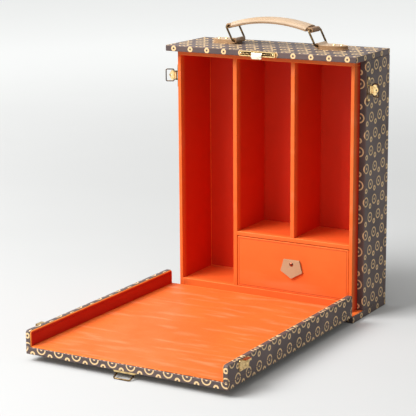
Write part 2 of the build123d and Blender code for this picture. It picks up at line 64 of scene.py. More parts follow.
ACROSS = Vector((1.0, 0.0, 0.0))
DEEP = Vector((0.0, 1.0, 0.0))
UP = Vector((0.0, 0.0, 1.0))
# Two directions whose dot product is greater count as one direction.
ALIGNED = 0.99

Colour = tuple[float, float, float]
Triple = tuple[float, float, float]
Span = tuple[float, float]
Socket = bpy.types.NodeSocket
Feed = Socket | float | tuple[float, ...]
Path = Callable[[float], tuple[Vector, Vector]]
Finisher = Callable[[bpy.types.Object], None]


class Slot(Enum):
    """The record's material slots, which each new piece names."""

    CANVAS = "patterned_canvas"
    LINING = "orange_lining"
    LEATHER = "tan_leather"


class Body(Enum):
    """The bodies that new pieces ride on."""

    CASE = "case"
    DOOR = "door"
    DRAWER = "drawer"
    GRIP = "handle_grip"


def node_box(name: str) -> tuple[Vector, Vector]:
    """Give the centre and half size of a piece of the frame.

    Args:
        name: The piece's name.

    Returns:
        Its centre and half its size, in metres.
    """
    low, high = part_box(name)
    return (low + high) / 2, (high - low) / 2


def pivot_of(joint: str) -> Vector:
    """Give the place of a joint.

    Args:
        joint: The joint's name.

    Returns:
        A point on its axis, in metres.
    """
    found = next(row for row in frame["joints"] if row["name"] == joint)
    return Vector(found["pos_m"])


def put_in_scene(name: str, data: bpy.types.ID) -> bpy.types.Object:
    """Make an object of some data and put it in the scene.

    Args:
        name: The object's name.
        data: Its mesh, lamp or camera.

    Returns:
        The new object.
    """
    made = bpy.data.objects.new(name, data)
    bpy.context.scene.collection.objects.link(made)
    return made


class Wiring:
    """Adds nodes and links to one node tree."""

    def __init__(self, tree: bpy.types.NodeTree) -> None:
        """Take the tree to work on."""
        self.tree = tree

    def node(self, kind: str, options: dict | None = None, feeds: dict | None = None) -> bpy.types.Node:
        """Add a node.

        Args:
            kind: The node's type.
            options: Its options by name.
            feeds: Its inputs by name or number, each a socket or a constant.

        Returns:
            The new node.
        """
        made = self.tree.nodes.new(kind)
        for name, value in (options or {}).items():
            setattr(made, name, value)
        for key, value in (feeds or {}).items():
            if isinstance(value, Socket):
                self.tree.links.new(value, made.inputs[key])
            else:
                made.inputs[key].default_value = value
        return made

    def math(self, operation: str, *values: Feed) -> Socket:
        """Add a Math node and give its result."""
        return self.node("ShaderNodeMath", {"operation": operation}, dict(enumerate(values))).outputs[0]

    def vector(self, operation: str, *values: Feed) -> Socket:
        """Add a Vector Math node and give its vector."""
        return self.node("ShaderNodeVectorMath", {"operation": operation}, dict(enumerate(values))).outputs[0]

    def length(self, value: Socket) -> Socket:
        """Give the length of a vector."""
        return self.node("ShaderNodeVectorMath", {"operation": "LENGTH"}, {0: value}).outputs["Value"]

    def split(self, value: Socket) -> list[Socket]:
        """Give the three parts of a vector."""
        return list(self.node("ShaderNodeSeparateXYZ", feeds={0: value}).outputs)

    def join(self, x: Feed, y: Feed, z: Feed) -> Socket:
        """Make a vector of three parts."""
        return self.node("ShaderNodeCombineXYZ", feeds={0: x, 1: y, 2: z}).outputs[0]

    def fade(self, value: Feed, start: Feed, end: Feed, low: float = 0.0, high: float = 1.0) -> Socket:
        """Go smoothly from low to high while a value goes from start to end.

        Args:
            value: The value that drives it.
            start: Where the change begins.
            end: Where it is complete.
            low: The result before start.
            high: The result after end.

        Returns:
            The result's socket.
        """
        feeds = {0: value, 1: start, 2: end, 3: low, 4: high}
        return self.node("ShaderNodeMapRange", {"interpolation_type": "SMOOTHSTEP"}, feeds).outputs[0]

    def blend(self, factor: Feed, first: Feed, second: Feed) -> Socket:
        """Mix two colours by a factor."""
        pair = [(*colour, 1.0) if isinstance(colour, tuple) else colour for colour in (first, second)]
        return self.node("ShaderNodeMix", {"data_type": "RGBA"}, {0: factor, 6: pair[0], 7: pair[1]}).outputs[2]

    def noise(self, place: Feed, scale: Feed, detail: float = 3.0) -> Socket:
        """Give a cloudy value about one half."""
        feeds = {"Vector": place, "Scale": scale, "Detail": detail}
        return self.node("ShaderNodeTexNoise", feeds=feeds).outputs[0]

    def object_place(self) -> Socket:
        """Give the place on the piece, in metres."""
        return self.node("ShaderNodeTexCoord").outputs["Object"]

    def object_normal(self) -> Socket:
        """Give the piece's own surface direction."""
        return self.node("ShaderNodeTexCoord").outputs["Normal"]

    def seen(self) -> Socket:
        """Give one for rays of the camera and of reflections, and nought for the rest."""
        ray = self.node("ShaderNodeLightPath").outputs
        return self.math("MAXIMUM", ray["Is Camera Ray"], ray["Is Glossy Ray"])


class Effects:
    """Shader node groups that several finishes share, each built once."""

    @staticmethod
    def begin(
        name: str, inputs: dict[str, float | Triple], outputs: Iterable[str]
    ) -> tuple[Wiring, dict[str, Socket]]:
        """Begin a group.

        Args:
            name: The group's name.
            inputs: The inputs and their values, where three numbers make a vector.
            outputs: The names of the outputs, which are plain values.

        Returns:
            The wiring of its inside, and its inputs' sockets by name.
        """
        tree = bpy.data.node_groups.new(name, "ShaderNodeTree")
        for key, value in inputs.items():
            kind = "NodeSocketVector" if isinstance(value, tuple) else "NodeSocketFloat"
            socket = tree.interface.new_socket(key, in_out="INPUT", socket_type=kind)
            socket.default_value = value
        for key in outputs:
            tree.interface.new_socket(key, in_out="OUTPUT", socket_type="NodeSocketFloat")
        wiring = Wiring(tree)
        entry = wiring.node("NodeGroupInput")
        return wiring, {key: entry.outputs[key] for key in inputs}

    @staticmethod
    def end(wiring: Wiring, results: dict[str, Socket]) -> bpy.types.NodeTree:
        """Join the results to a group's outputs and give the group."""
        wiring.node("NodeGroupOutput", feeds=results)
        return wiring.tree

    @staticmethod
    def face_place(wiring: Wiring, wrap: Feed = 0.0) -> Socket:
        """Lay the piece's place out flat on whichever side a face looks to.

        Args:
            wiring: The tree to wire.
            wrap: How far faces to the front are moved, so that a print goes on round a corner.

        Returns:
            The flat place's socket.
        """
        x, y, z = wiring.split(wiring.object_place())
        nx, ny, nz = wiring.split(wiring.vector("ABSOLUTE", wiring.object_normal()))
        sideways = wiring.math("GREATER_THAN", nx, wiring.math("MAXIMUM", ny, nz))
        level = wiring.math("GREATER_THAN", nz, wiring.math("MAXIMUM", nx, ny))
        forward = wiring.math("GREATER_THAN", ny, wiring.math("MAXIMUM", nx, nz))
        x = wiring.math("ADD", x, wiring.math("MULTIPLY", forward, wrap))
        run = wiring.math("ADD", x, wiring.math("MULTIPLY", sideways, wiring.math("SUBTRACT", y, x)))
        rise = wiring.math("ADD", z, wiring.math("MULTIPLY", level, wiring.math("SUBTRACT", y, z)))
        return wiring.join(run, rise, 0.0)

    @classmethod
    def cloth_place(cls, wiring: Wiring, own_map: Feed, wrap: Feed = 0.0) -> Socket:
        """Lay a canvas out flat.

        Args:
            wiring: The tree to wire.
            own_map: One for a sheet that bends and has its own UV map, nought for a board.
            wrap: How far faces to the front are moved on a board.

        Returns:
            The flat place's socket.
        """
        flat = wiring.node("ShaderNodeTexCoord").outputs["UV"]
        feeds = {0: own_map, 4: cls.face_place(wiring, wrap), 5: flat}
        return wiring.node("ShaderNodeMix", {"data_type": "VECTOR"}, feeds).outputs[1]

    @staticmethod
    def lattice_distance(wiring: Wiring, place: Socket, half: Socket) -> Socket:
        """Measure how far a place is from the nearest point of a triangular lattice.

        Args:
            wiring: The tree to wire.
            place: The place, seen from one point of the lattice.
            half: Half the size of the lattice's cell.

        Returns:
            The distance's socket.
        """
        back = wiring.vector("MULTIPLY", half, (-1.0, -1.0, -1.0))
        ends = []
        for start in (place, wiring.vector("ADD", place, half)):
            cell = wiring.vector("WRAP", start, half, back)
            ends.append(wiring.length(wiring.vector("MULTIPLY", cell, (1.0, 1.0, 0.0))))
        return wiring.math("MINIMUM", *ends)

    @staticmethod
    def ring(wiring: Wiring, distance: Socket, radius: Socket, line: Socket) -> Socket:
        """Draw a ring with slightly soft edges.

        Args:
            wiring: The tree to wire.
            distance: The distance from its centre.
            radius: Its radius.
            line: The width of its line.

        Returns:
            The socket of its mask.
        """
        softness = 0.0003
        off = wiring.math("ABSOLUTE", wiring.math("SUBTRACT", distance, radius))
        edge = wiring.math("DIVIDE", line, 2.0)
        return wiring.fade(off, edge, wiring.math("ADD", edge, softness), 1.0, 0.0)

    @classmethod
    @cache
    def ring_print(cls) -> bpy.types.NodeTree:
        """Print plain large rings with a dot, and small rings between them, on a triangular lattice.

        Returns:
            The group, whose Mask is one where there is ink.
        """
        inputs = {
            "Spacing": 0.027,
            "Shift": (0.0, 0.0, 0.0),
            "Front Shift": 0.0,
            "Own Map": 0.0,
            "Large Radius": 0.0061,
            "Small Radius": 0.0027,
            "Line": 0.0015,
            "Plain Edges": 0.0,
            "Wobble": 0.0004,
        }
        wobble_scale, small_line_share, dot_share, level_slope = 520.0, 1.35, 1.25, 0.7
        wiring, given = cls.begin("ring_print", inputs, ("Mask",))
        line, pitch = given["Line"], given["Spacing"]
        flat = cls.cloth_place(wiring, given["Own Map"], given["Front Shift"])
        place = wiring.vector("ADD", flat, given["Shift"])
        cloud = wiring.math("SUBTRACT", wiring.noise(place, wobble_scale, 2.0), 0.5)
        wobble = wiring.math("MULTIPLY", cloud, given["Wobble"])
        row = wiring.math("MULTIPLY", pitch, math.sqrt(3))
        half = wiring.join(wiring.math("DIVIDE", pitch, 2.0), wiring.math("DIVIDE", row, 2.0), 1.0)
        between = wiring.vector("SUBTRACT", place, wiring.join(0.0, wiring.math("DIVIDE", row, 3.0), 0.0))
        large, small = (
            wiring.math("ADD", cls.lattice_distance(wiring, start, half), wobble) for start in (place, between))
        dot = wiring.fade(large, line, wiring.math("MULTIPLY", line, dot_share), 1.0, 0.0)
        motif = wiring.math("MAXIMUM", cls.ring(wiring, large, given["Large Radius"], line), dot)
        _, _, upright = wiring.split(wiring.vector("ABSOLUTE", wiring.object_normal()))
        level = wiring.math("GREATER_THAN", upright, level_slope)
        shown = wiring.math("MAXIMUM", level, wiring.math("SUBTRACT", 1.0, given["Plain Edges"]))
        small_line = wiring.math("MULTIPLY", line, small_line_share)
        small_ring = cls.ring(wiring, small, given["Small Radius"], small_line)
        mask = wiring.math("MAXIMUM", wiring.math("MULTIPLY", motif, shown), small_ring)
        return cls.end(wiring, {"Mask": mask})

    @classmethod
    @cache
    def edge_wear_and_highlight(cls) -> bpy.types.NodeTree:
        """Find a board's own edges, for worn corners, for painted edge highlights and for lines along an edge.

        Returns:
            The group, which puts out Wear and the Distance to the nearest edge.
        """
        inputs = {"Centre": (0.0, 0.0, 0.0), "Half Size": (1.0, 1.0, 1.0), "Reach": 0.002}
        patch_scale, patch_gain = 90.0, 1.7
        wiring, given = cls.begin("edge_wear_and_highlight", inputs, ("Wear_And_Highlight", "Distance"))
        place = wiring.object_place()
        off = wiring.vector("ABSOLUTE", wiring.vector("SUBTRACT", place, given["Centre"]))
        a, b, c = wiring.split(wiring.vector("SUBTRACT", given["Half Size"], off))
        first = wiring.math("MINIMUM", a, b)
        second = wiring.math("MINIMUM", wiring.math("MAXIMUM", a, b), c)
        away = wiring.math("MAXIMUM", first, second)
        patchy = wiring.math("MULTIPLY", wiring.noise(place, patch_scale, 4.0), patch_gain)
        reach = wiring.math("MULTIPLY", given["Reach"], patchy)
        return cls.end(wiring, {"Wear_And_Highlight": wiring.fade(away, 0.0, reach, 1.0, 0.0), "Distance": away})

    @classmethod
    @cache
    def leather_grain(cls) -> bpy.types.NodeTree:
        """Make the fine pebbled grain, the pores and the cloudy colour of leather.

        Returns:
            The group, which puts out the grain's Height, its Mottle and its long Streaks.
        """
        inputs = {"Scale": 1500.0, "Stretch": (6.0, 42.0, 42.0)}
        crease, pore_scale, share, mottle_scale, streak_fade = 0.16, 2.2, 0.6, 14.0, (0.5, 0.74)
        wiring, given = cls.begin("leather_grain", inputs, ("Height", "Mottle", "Streaks"))
        place = wiring.object_place()
        feeds = {"Vector": place, "Scale": given["Scale"], "Randomness": 1.0}
        cells = wiring.node("ShaderNodeTexVoronoi", {"feature": "DISTANCE_TO_EDGE"}, feeds).outputs[0]
        pebble = wiring.fade(cells, 0.0, crease)
        fine = wiring.noise(place, wiring.math("MULTIPLY", given["Scale"], pore_scale), 4.0)
        height = wiring.math("ADD", wiring.math("MULTIPLY", pebble, share), wiring.math("MULTIPLY", fine, share))
        stretched = wiring.vector("MULTIPLY", place, given["Stretch"])
        mottle = wiring.noise(place, mottle_scale, 5.0)
        streaks = wiring.fade(wiring.noise(stretched, 1.0, 6.0), *streak_fade)
        return cls.end(wiring, {"Height": height, "Mottle": mottle, "Streaks": streaks})

    @classmethod
    @cache
    def coated_weave(cls) -> bpy.types.NodeTree:
        """Make the fine crossed threads that show through a canvas's coating.

        Returns:
            The group, which puts out the weave's Height and a slow Stain.
        """
        rough_scale, stain_scale = 1700.0, 11.0
        wiring, given = cls.begin("coated_weave", {"Thread": 0.0012, "Own Map": 0.0}, ("Height", "Stain"))
        flat = cls.cloth_place(wiring, given["Own Map"])
        u, v, _ = wiring.split(flat)
        turns = wiring.math("DIVIDE", math.tau, given["Thread"])
        up = wiring.math("SINE", wiring.math("MULTIPLY", wiring.math("ADD", u, v), turns))
        down = wiring.math("SINE", wiring.math("MULTIPLY", wiring.math("SUBTRACT", u, v), turns))
        weave = wiring.math("ADD", wiring.math("MULTIPLY", wiring.math("MULTIPLY", up, down), 0.5), 0.5)
        rough = wiring.math("MULTIPLY", wiring.noise(flat, rough_scale, 2.0), 0.5)
        stain = wiring.noise(flat, stain_scale, 4.0)
        return cls.end(wiring, {"Height": wiring.math("ADD", weave, rough), "Stain": stain})


class Shader:
    """One material with a Principled BSDF and its wiring."""

    def __init__(self, name: str, constants: dict[str, float]) -> None:
        """Start a material.

        Args:
            name: The material's name.
            constants: Values set on the shader's own sockets.
        """
        self.material = bpy.data.materials.new(name)
        self.material.use_nodes = True
        self.wiring = Wiring(self.material.node_tree)
        self.shader = self.material.node_tree.nodes["Principled BSDF"]
        for key, value in constants.items():
            self.shader.inputs[key].default_value = value

    def effect(self, tree: bpy.types.NodeTree, feeds: dict | None = None) -> bpy.types.Node:
        """Place a shared effect in this material."""
        return self.wiring.node("ShaderNodeGroup", {"node_tree": tree}, feeds)

    def edges(self, piece: str, reach: float = 0.002) -> bpy.types.Node:
        """Place the effect that finds a piece's edges.

        Args:
            piece: The piece's name.
            reach: How far its band goes in from an edge: wear on canvas, painted highlight on orange leather.

        Returns:
            The effect's node.
        """
        centre, half = node_box(piece)
        feeds = {"Centre": tuple(centre), "Half Size": tuple(half), "Reach": reach}
        return self.effect(Effects.edge_wear_and_highlight(), feeds)

    def feed(self, key: str, value: Socket) -> None:
        """Feed one of the shader's inputs."""
        self.wiring.tree.links.new(value, self.shader.inputs[key])

    def bump(self, height: Socket, distance: float, strength: float) -> None:
        """Raise the surface by a height map."""
        feeds = {"Height": height, "Distance": distance, "Strength": strength}
        self.feed("Normal", self.wiring.node("ShaderNodeBump", feeds=feeds).outputs[0])


@dataclass(frozen=True)
class PrintedCanvas:
    """Coated brown canvas with a tan print, glued over board."""

    ground: Colour = (0.13, 0.091, 0.085)
    stained: Colour = (0.085, 0.062, 0.06)
    ink: Colour = (0.86, 0.6, 0.31)
    # Colour of the worn edges.
    paler: Colour = (0.28, 0.17, 0.12)
    spacing: float = 0.027
    bare_rim: Span = (0.0003, 0.0009)
    wear_reach: float = 0.0011
    wear_share: float = 0.45
    thread: float = 0.0012
    stain_fade: Span = (0.35, 0.7)
    gloss: float = 0.28
    roughness: Span = (0.42, 0.56)
    roughness_fade: Span = (0.2, 0.8)
    ink_roughness: float = 0.08
    ink_height: float = 0.8
    bump_depth: float = 0.00006
    bump_strength: float = 0.7

    @property
    def row(self) -> float:
        """Give the distance between two like rows of the print."""
        return self.spacing * math.sqrt(3)

    @staticmethod
    def front_shift(board: str, shift: Triple) -> float:
        """Work out how far the print on a board's front is moved to go on round its outer corner.

        Args:
            board: The board's name.
            shift: How far the whole print is moved on it.

        Returns:
            The distance, in metres.
        """
        centre, half = node_box(board)
        front = centre.y - half.y
        if centre.x < 0.0:
            return half.x - centre.x - front - 2 * shift[0]
        return front - centre.x - half.x

    def material(
        self, name: str, shift: Triple, plain_edges: bool = False, own_map: bool = False
    ) -> bpy.types.Material:
        """Make the finish of one board or sheet.

        Args:
            name: The node of the board.
            shift: How far the print is moved on it.
            plain_edges: True leaves only the small rings on the upright faces.
            own_map: True for a sheet that bends, which has its own UV map and no board's corners.

        Returns:
            The material.
        """
        made = Shader(f"canvas_{name}", {"Specular IOR Level": self.gloss})
        wiring = made.wiring
        weave = made.effect(Effects.coated_weave(), {"Thread": self.thread, "Own Map": float(own_map)})
        rings = made.effect(Effects.ring_print(), {
            "Spacing": self.spacing,
            "Shift": shift,
            "Front Shift": 0.0 if plain_edges else self.front_shift(name, shift),
            "Plain Edges": float(plain_edges),
            "Own Map": float(own_map),
        })
        mask, worn = rings.outputs["Mask"], 0.0
        if not own_map:
            edges = made.edges(name, self.wear_reach).outputs
            mask = wiring.math("MULTIPLY", mask, wiring.fade(edges["Distance"], *self.bare_rim))
            worn = wiring.math("MULTIPLY", edges["Wear_And_Highlight"], self.wear_share)
        stain = weave.outputs["Stain"]
        ground = wiring.blend(wiring.fade(stain, *self.stain_fade), self.ground, self.stained)
        printed = wiring.blend(mask, ground, self.ink)
        made.feed("Base Color", wiring.blend(worn, printed, self.paler))
        rough = wiring.fade(stain, *self.roughness_fade, *self.roughness)
        made.feed("Roughness", wiring.math("ADD", rough, wiring.math("MULTIPLY", mask, self.ink_roughness)))
        ink = wiring.math("MULTIPLY", mask, self.ink_height)
        made.bump(wiring.math("ADD", weave.outputs["Height"], ink), self.bump_depth, self.bump_strength)
        return made.material


@dataclass(frozen=True)
class OrangeLeather:
    """Smooth orange leather glued over board, with painted highlights along its turned edges.

    Painted shade deepens it to a darker red further in than the board's front edge, or than any of its edges.
    """

    colour: Colour = (0.8, 0.16, 0.028)
    deep: Colour = (0.77, 0.138, 0.021)
    # Painted shade colour, how strongly it is painted and how far in it starts and ends.
    shaded: Colour = (0.66, 0.032, 0.006)
    shaded_share: float = 0.0
    shade_start: float = 0.004
    shade_end: float = 0.014
    front_only: bool = True
    paler: Colour = (0.95, 0.29, 0.13)
    # Painted highlight colour along the board's edges, and how far in it reaches.
    edge: Colour = (1.0, 0.22, 0.035)
    highlight_reach: float = 0.0012
    scored_line: float = 0.0
    scored_edges: Span = (0.0002, 0.0007)
    scored_colour: Colour = (0.5, 0.045, 0.008)
    scored_share: float = 0.75
    scored_depth: float = 3.0
    streak_share: float = 0.25
    grain_scale: float = 1300.0
    grain_share: float = 0.5
    stretch: Triple = (6.0, 42.0, 42.0)
    mottle_fade: Span = (0.35, 0.65)
    gloss: float = 0.26
    roughness: Span = (0.46, 0.6)
    roughness_fade: Span = (0.3, 0.7)
    bump_depth: float = 0.00007
    bump_strength: float = 0.6

    def material(self, name: str) -> bpy.types.Material:
        """Make the finish of one lined board.

        Args:
            name: The node of the board.

        Returns:
            The material.
        """
        made = Shader(f"lining_{name}", {"Specular IOR Level": self.gloss})
        wiring = made.wiring
        grain = made.effect(Effects.leather_grain(), {"Scale": self.grain_scale, "Stretch": self.stretch}).outputs
        edges = made.edges(name, self.highlight_reach).outputs
        base = wiring.blend(wiring.fade(grain["Mottle"], *self.mottle_fade), self.colour, self.deep)
        # Paler streaks along the grain.
        base = wiring.blend(wiring.math("MULTIPLY", grain["Streaks"], self.streak_share), base, self.paler)
        inward = edges["Distance"]
        if self.front_only:
            centre, half = node_box(name)
            inward = wiring.math("SUBTRACT", wiring.split(wiring.object_place())[1], centre.y - half.y)
        # Painted shade: deeper red further in from the front edge, or from every edge.
        shade = wiring.fade(inward, self.shade_start, self.shade_end, 0.0, self.shaded_share)
        base = wiring.blend(shade, base, self.shaded)
        # Painted highlight: brighter colour along the board's edges.
        base = wiring.blend(edges["Wear_And_Highlight"], base, self.edge)
        height = wiring.math("MULTIPLY", grain["Height"], self.grain_share)
        if self.scored_line:
            off = wiring.math("ABSOLUTE", wiring.math("SUBTRACT", edges["Distance"], self.scored_line))
            line = wiring.fade(off, *self.scored_edges, 1.0, 0.0)
            base = wiring.blend(wiring.math("MULTIPLY", line, self.scored_share), base, self.scored_colour)
            height = wiring.math("SUBTRACT", height, wiring.math("MULTIPLY", line, self.scored_depth))
        made.feed("Base Color", base)
        made.feed("Roughness", wiring.fade(grain["Mottle"], *self.roughness_fade, *self.roughness))
        made.bump(height, self.bump_depth, self.bump_strength)
        return made.material


@dataclass(frozen=True)
class TanLeather:
    """Natural leather, or the same leather's burnished cut edge."""

    colour: Colour = (0.57, 0.415, 0.285)
    deep: Colour = (0.46, 0.31, 0.185)
    roughness: float = 0.5
    smoother: float = 0.08
    rougher: float = 0.1
    roughness_fade: Span = (0.3, 0.7)
    grain_scale: float = 1150.0
    stretch: Triple = (30.0, 120.0, 30.0)
    mottle_fade: Span = (0.3, 0.72)
    pore_share: float = 0.3
    gloss: float = 0.4
    bump_depth: float = 0.00009
    bump_strength: float = 0.8

    def material(self, name: str) -> bpy.types.Material:
        """Make the finish.

        Args:
            name: The material's name.

        Returns:
            The material.
        """
        made = Shader(name, {"Specular IOR Level": self.gloss})
        wiring = made.wiring
        grain = made.effect(Effects.leather_grain(), {"Scale": self.grain_scale, "Stretch": self.stretch}).outputs
        base = wiring.blend(wiring.fade(grain["Mottle"], *self.mottle_fade), self.colour, self.deep)
        pores = wiring.math("MULTIPLY", grain["Streaks"], self.pore_share)
        made.feed("Base Color", wiring.blend(pores, base, self.deep))
        low, high = self.roughness - self.smoother, self.roughness + self.rougher
        made.feed("Roughness", wiring.fade(grain["Mottle"], *self.roughness_fade, low, high))
        made.bump(grain["Height"], self.bump_depth, self.bump_strength)
        return made.material


@dataclass(frozen=True)
class Brass:
    """Brass with tarnish that gathers in clouds, fine scratches and brighter worn places."""

    bright: Colour
    dark: Colour
    tarnish: float
    roughness: float
    smoother: float = 0.08
    rougher: float = 0.18
    roughness_fade: Span = (0.25, 0.75)
    cloud_scale: float = 260.0
    cloud_fade: Span = (-0.18, 0.22)
    scratch_stretch: Triple = (900.0, 140.0, 2600.0)
    scratch_share: float = 0.6
    recess: float = 0.0
    recess_fade: float = 0.0004
    recess_shade: Colour = (0.025, 0.015, 0.008)
    bands: float = 0.0
    band_fade: Span = (-0.4, 0.6)
    band_height: float = 4.0
    groove_shade: Colour = (0.05, 0.03, 0.015)
    bump_depth: float = 0.00004
    bump_strength: float = 0.6

    def material(self, name: str, recessed: str = "") -> bpy.types.Material:
        """Make the finish.

        Args:
            name: The material's name.
            recessed: The piece whose recess gets painted shade, if any.

        Returns:
            The material.
        """
        made = Shader(name, {"Metallic": 1.0})
        wiring = made.wiring
        place = wiring.object_place()
        clouds = wiring.noise(place, self.cloud_scale, 5.0)
        scratches = wiring.noise(wiring.vector("MULTIPLY", place, self.scratch_stretch), 1.0, 3.0)
        start, end = (1.0 - self.tarnish + limit for limit in self.cloud_fade)
        base = wiring.blend(wiring.fade(clouds, start, end), self.bright, self.dark)
        height = wiring.math("MULTIPLY", scratches, self.scratch_share)
        # Painted shade: near black inside the recess.
        if recessed:
            away = made.edges(recessed).outputs["Distance"]
            inside = wiring.fade(away, self.recess, self.recess + self.recess_fade)
            base = wiring.blend(inside, base, self.recess_shade)
        if self.bands:
            x, _, _ = wiring.split(place)
            wave = wiring.math("SINE", wiring.math("MULTIPLY", x, math.tau / self.bands))
            ridge = wiring.fade(wave, *self.band_fade)
            # Painted shade: darker grooves between the ridges.
            base = wiring.blend(ridge, self.groove_shade, base)
            height = wiring.math("ADD", height, wiring.math("MULTIPLY", ridge, self.band_height))
        made.feed("Base Color", base)
        low, high = self.roughness - self.smoother, self.roughness + self.rougher
        made.feed("Roughness", wiring.fade(clouds, *self.roughness_fade, low, high))
        made.bump(height, self.bump_depth, self.bump_strength)
        return made.material


@dataclass(frozen=True)
class Thread:
    """Waxed sewing thread."""

    colour: Colour = (0.8, 0.62, 0.4)
    dark: Colour = (0.55, 0.38, 0.2)
    twist_scale: float = 2600.0
    roughness: Span = (0.5, 0.7)
    roughness_fade: Span = (0.3, 0.7)
    gloss: float = 0.3
    bump_depth: float = 0.00005
    bump_strength: float = 0.6

    def material(self, name: str) -> bpy.types.Material:
        """Make the finish.

        Args:
            name: The material's name.

        Returns:
            The material.
        """
        made = Shader(name, {"Specular IOR Level": self.gloss})
        wiring = made.wiring
        twist = wiring.noise(wiring.object_place(), self.twist_scale, 2.0)
        made.feed("Base Color", wiring.blend(twist, self.colour, self.dark))
        made.feed("Roughness", wiring.fade(twist, *self.roughness_fade, *self.roughness))
        made.bump(twist, self.bump_depth, self.bump_strength)
        return made.material


class Palette:
    """The finishes that are shared by whole pieces."""

    def __init__(self) -> None:
        """Make each shared material once."""
        tab = TanLeather(colour=(0.53, 0.38, 0.23), deep=(0.44, 0.28, 0.15))
        brown = TanLeather(colour=(0.34, 0.2, 0.11), deep=(0.22, 0.12, 0.06))
        burnished = TanLeather(colour=(0.46, 0.28, 0.14), deep=(0.32, 0.17, 0.075), roughness=0.42)
        aged = Brass(bright=(0.46, 0.3, 0.13), dark=(0.07, 0.042, 0.02), tarnish=0.62, roughness=0.27)
        # Darker bronze for the latch loops: partly the metal's own tone, partly painted shade.
        bronze_and_shade = Brass(bright=(0.26, 0.16, 0.075), dark=(0.05, 0.03, 0.016), tarnish=0.6, roughness=0.24)
        keeper = Brass(bright=(0.74, 0.52, 0.23), dark=(0.2, 0.12, 0.05), tarnish=0.42, roughness=0.26)
        golden = Brass(bright=(0.88, 0.64, 0.3), dark=(0.3, 0.19, 0.08), tarnish=0.36, roughness=0.24)
        polished = Brass(bright=(0.95, 0.9, 0.76), dark=(0.7, 0.58, 0.36), tarnish=0.3, roughness=0.22)
        copper = Brass(bright=(0.34, 0.1, 0.055), dark=(0.1, 0.025, 0.015), tarnish=0.5, roughness=0.25)
        # The ribbed pin's grooves carry painted shade.
        ribbed = Brass(bright=(0.6, 0.42, 0.2), dark=(0.16, 0.1, 0.05), tarnish=0.5, roughness=0.35, bands=0.0011)
        self.leather = TanLeather().material("tan_leather")
        self.tab_leather = tab.material("tab_leather")
        self.brown_leather = brown.material("brown_leather")
        self.burnished = burnished.material("burnished_edge")
        self.aged = aged.material("aged_brass")
        self.bronze_and_shade = bronze_and_shade.material("dark_bronze")
        self.keeper = keeper.material("keeper_brass")
        self.golden = golden.material("golden_brass")
        self.bright = polished.material("bright_brass")
        self.copper = copper.material("dark_copper")
        self.ribbed = ribbed.material("ribbed_pin")
        # The clasp frame's slot gets painted shade.
        self.recessed = replace(golden, recess=0.00125).material("recessed_brass", "clasp_frame")
        self.thread = Thread().material("waxed_thread")

    @staticmethod
    def paint(material: bpy.types.Material, *names: str) -> None:
        """Give pieces of the frame their finish.

        Args:
            material: The finish.
            names: The pieces' names.
        """
        for name in names:
            target = frame["nodes"][name]
            if not target.material_slots:
                target.data.materials.append(material)
            for held in target.material_slots:
                held.material = material
            LOG.info("dressed %s in %s", name, material.name)


@dataclass
class Piece:
    """A new mesh piece, from its bmesh to its place on a body."""

    name: str
    body: Body
    slot: Slot
    materials: list[bpy.types.Material]
    replaced: tuple[str, ...] = ()

    def finish(self, mesh: bmesh.types.BMesh, modifiers: Finisher | None = None) -> bpy.types.Object:
        """Close the bmesh, make the object and tie it to its body.

        Args:
            mesh: The bmesh, in metres and in the frame.
            modifiers: Adds modifiers to the new object.

        Returns:
            The new object.
        """
        bmesh.ops.remove_doubles(mesh, verts=mesh.verts, dist=1e-6)
        bmesh.ops.recalc_face_normals(mesh, faces=mesh.faces)
        data = bpy.data.meshes.new(self.name)
        mesh.to_mesh(data)
        mesh.free()
        for material in self.materials:
            data.materials.append(material)
        made = put_in_scene(self.name, data)
        data.shade_smooth()
        if modifiers:
            modifiers(made)
        if self.replaced:
            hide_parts(*self.replaced)
        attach(made, self.body.value)
        LOG.info("made %s", self.name)
        return made


def soften(width: float, angle: float = 35.0) -> Finisher:
    """Give a function that rounds a piece's sharp edges.

    Args:
        width: How wide the rounding is.
        angle: The least angle of an edge that counts as sharp, in degrees.

    Returns:
        A function that adds the modifiers to an object.
    """

    def add(made: bpy.types.Object) -> None:
        """Add the bevel and even out the shading.

        Args:
            made: The object.
        """
        bevel = made.modifiers.new("rounding", "BEVEL")
        bevel.width = width
        bevel.segments = 3
        bevel.limit_method = "ANGLE"
        bevel.angle_limit = math.radians(angle)
        made.modifiers.new("even_shading", "WEIGHTED_NORMAL").keep_sharp = True

    return add


def thicken(thickness: float, rounding: float) -> Finisher:
    """Give a function that turns a bare sheet into one with a thickness and rounded rims.

    Args:
        thickness: How thick the sheet gets, half to each side.
        rounding: How wide its rims are rounded.

    Returns:
        A function that adds the modifiers to an object.
    """

    def add(made: bpy.types.Object) -> None:
        """Add the thickness, with the second material on the rims, then the rounding.

        Args:
            made: The object.
        """
        solid = made.modifiers.new("thickness", "SOLIDIFY")
        solid.thickness = thickness
        solid.offset = 0.0
        solid.use_even_offset = True
        solid.material_offset_rim = 1
        soften(rounding, 50.0)(made)

    return add


def vertices_of(items: Iterable) -> list[bmesh.types.BMVert]:
    """Pick the vertices out of what an operator made."""
    return [item for item in items if isinstance(item, bmesh.types.BMVert)]


def edges_of(items: Iterable) -> list[bmesh.types.BMEdge]:
    """Pick the edges out of what an operator made."""
    return [item for item in items if isinstance(item, bmesh.types.BMEdge)]


def raise_outline(mesh: bmesh.types.BMesh, offset: Vector) -> None:
    """Draw a flat outline out into a slab.

    Args:
        mesh: The bmesh, which holds the outline alone.
        offset: How far, and in which direction.
    """
    grown = bmesh.ops.extrude_face_region(mesh, geom=list(mesh.faces))["geom"]
    bmesh.ops.translate(mesh, verts=vertices_of(grown), vec=offset)


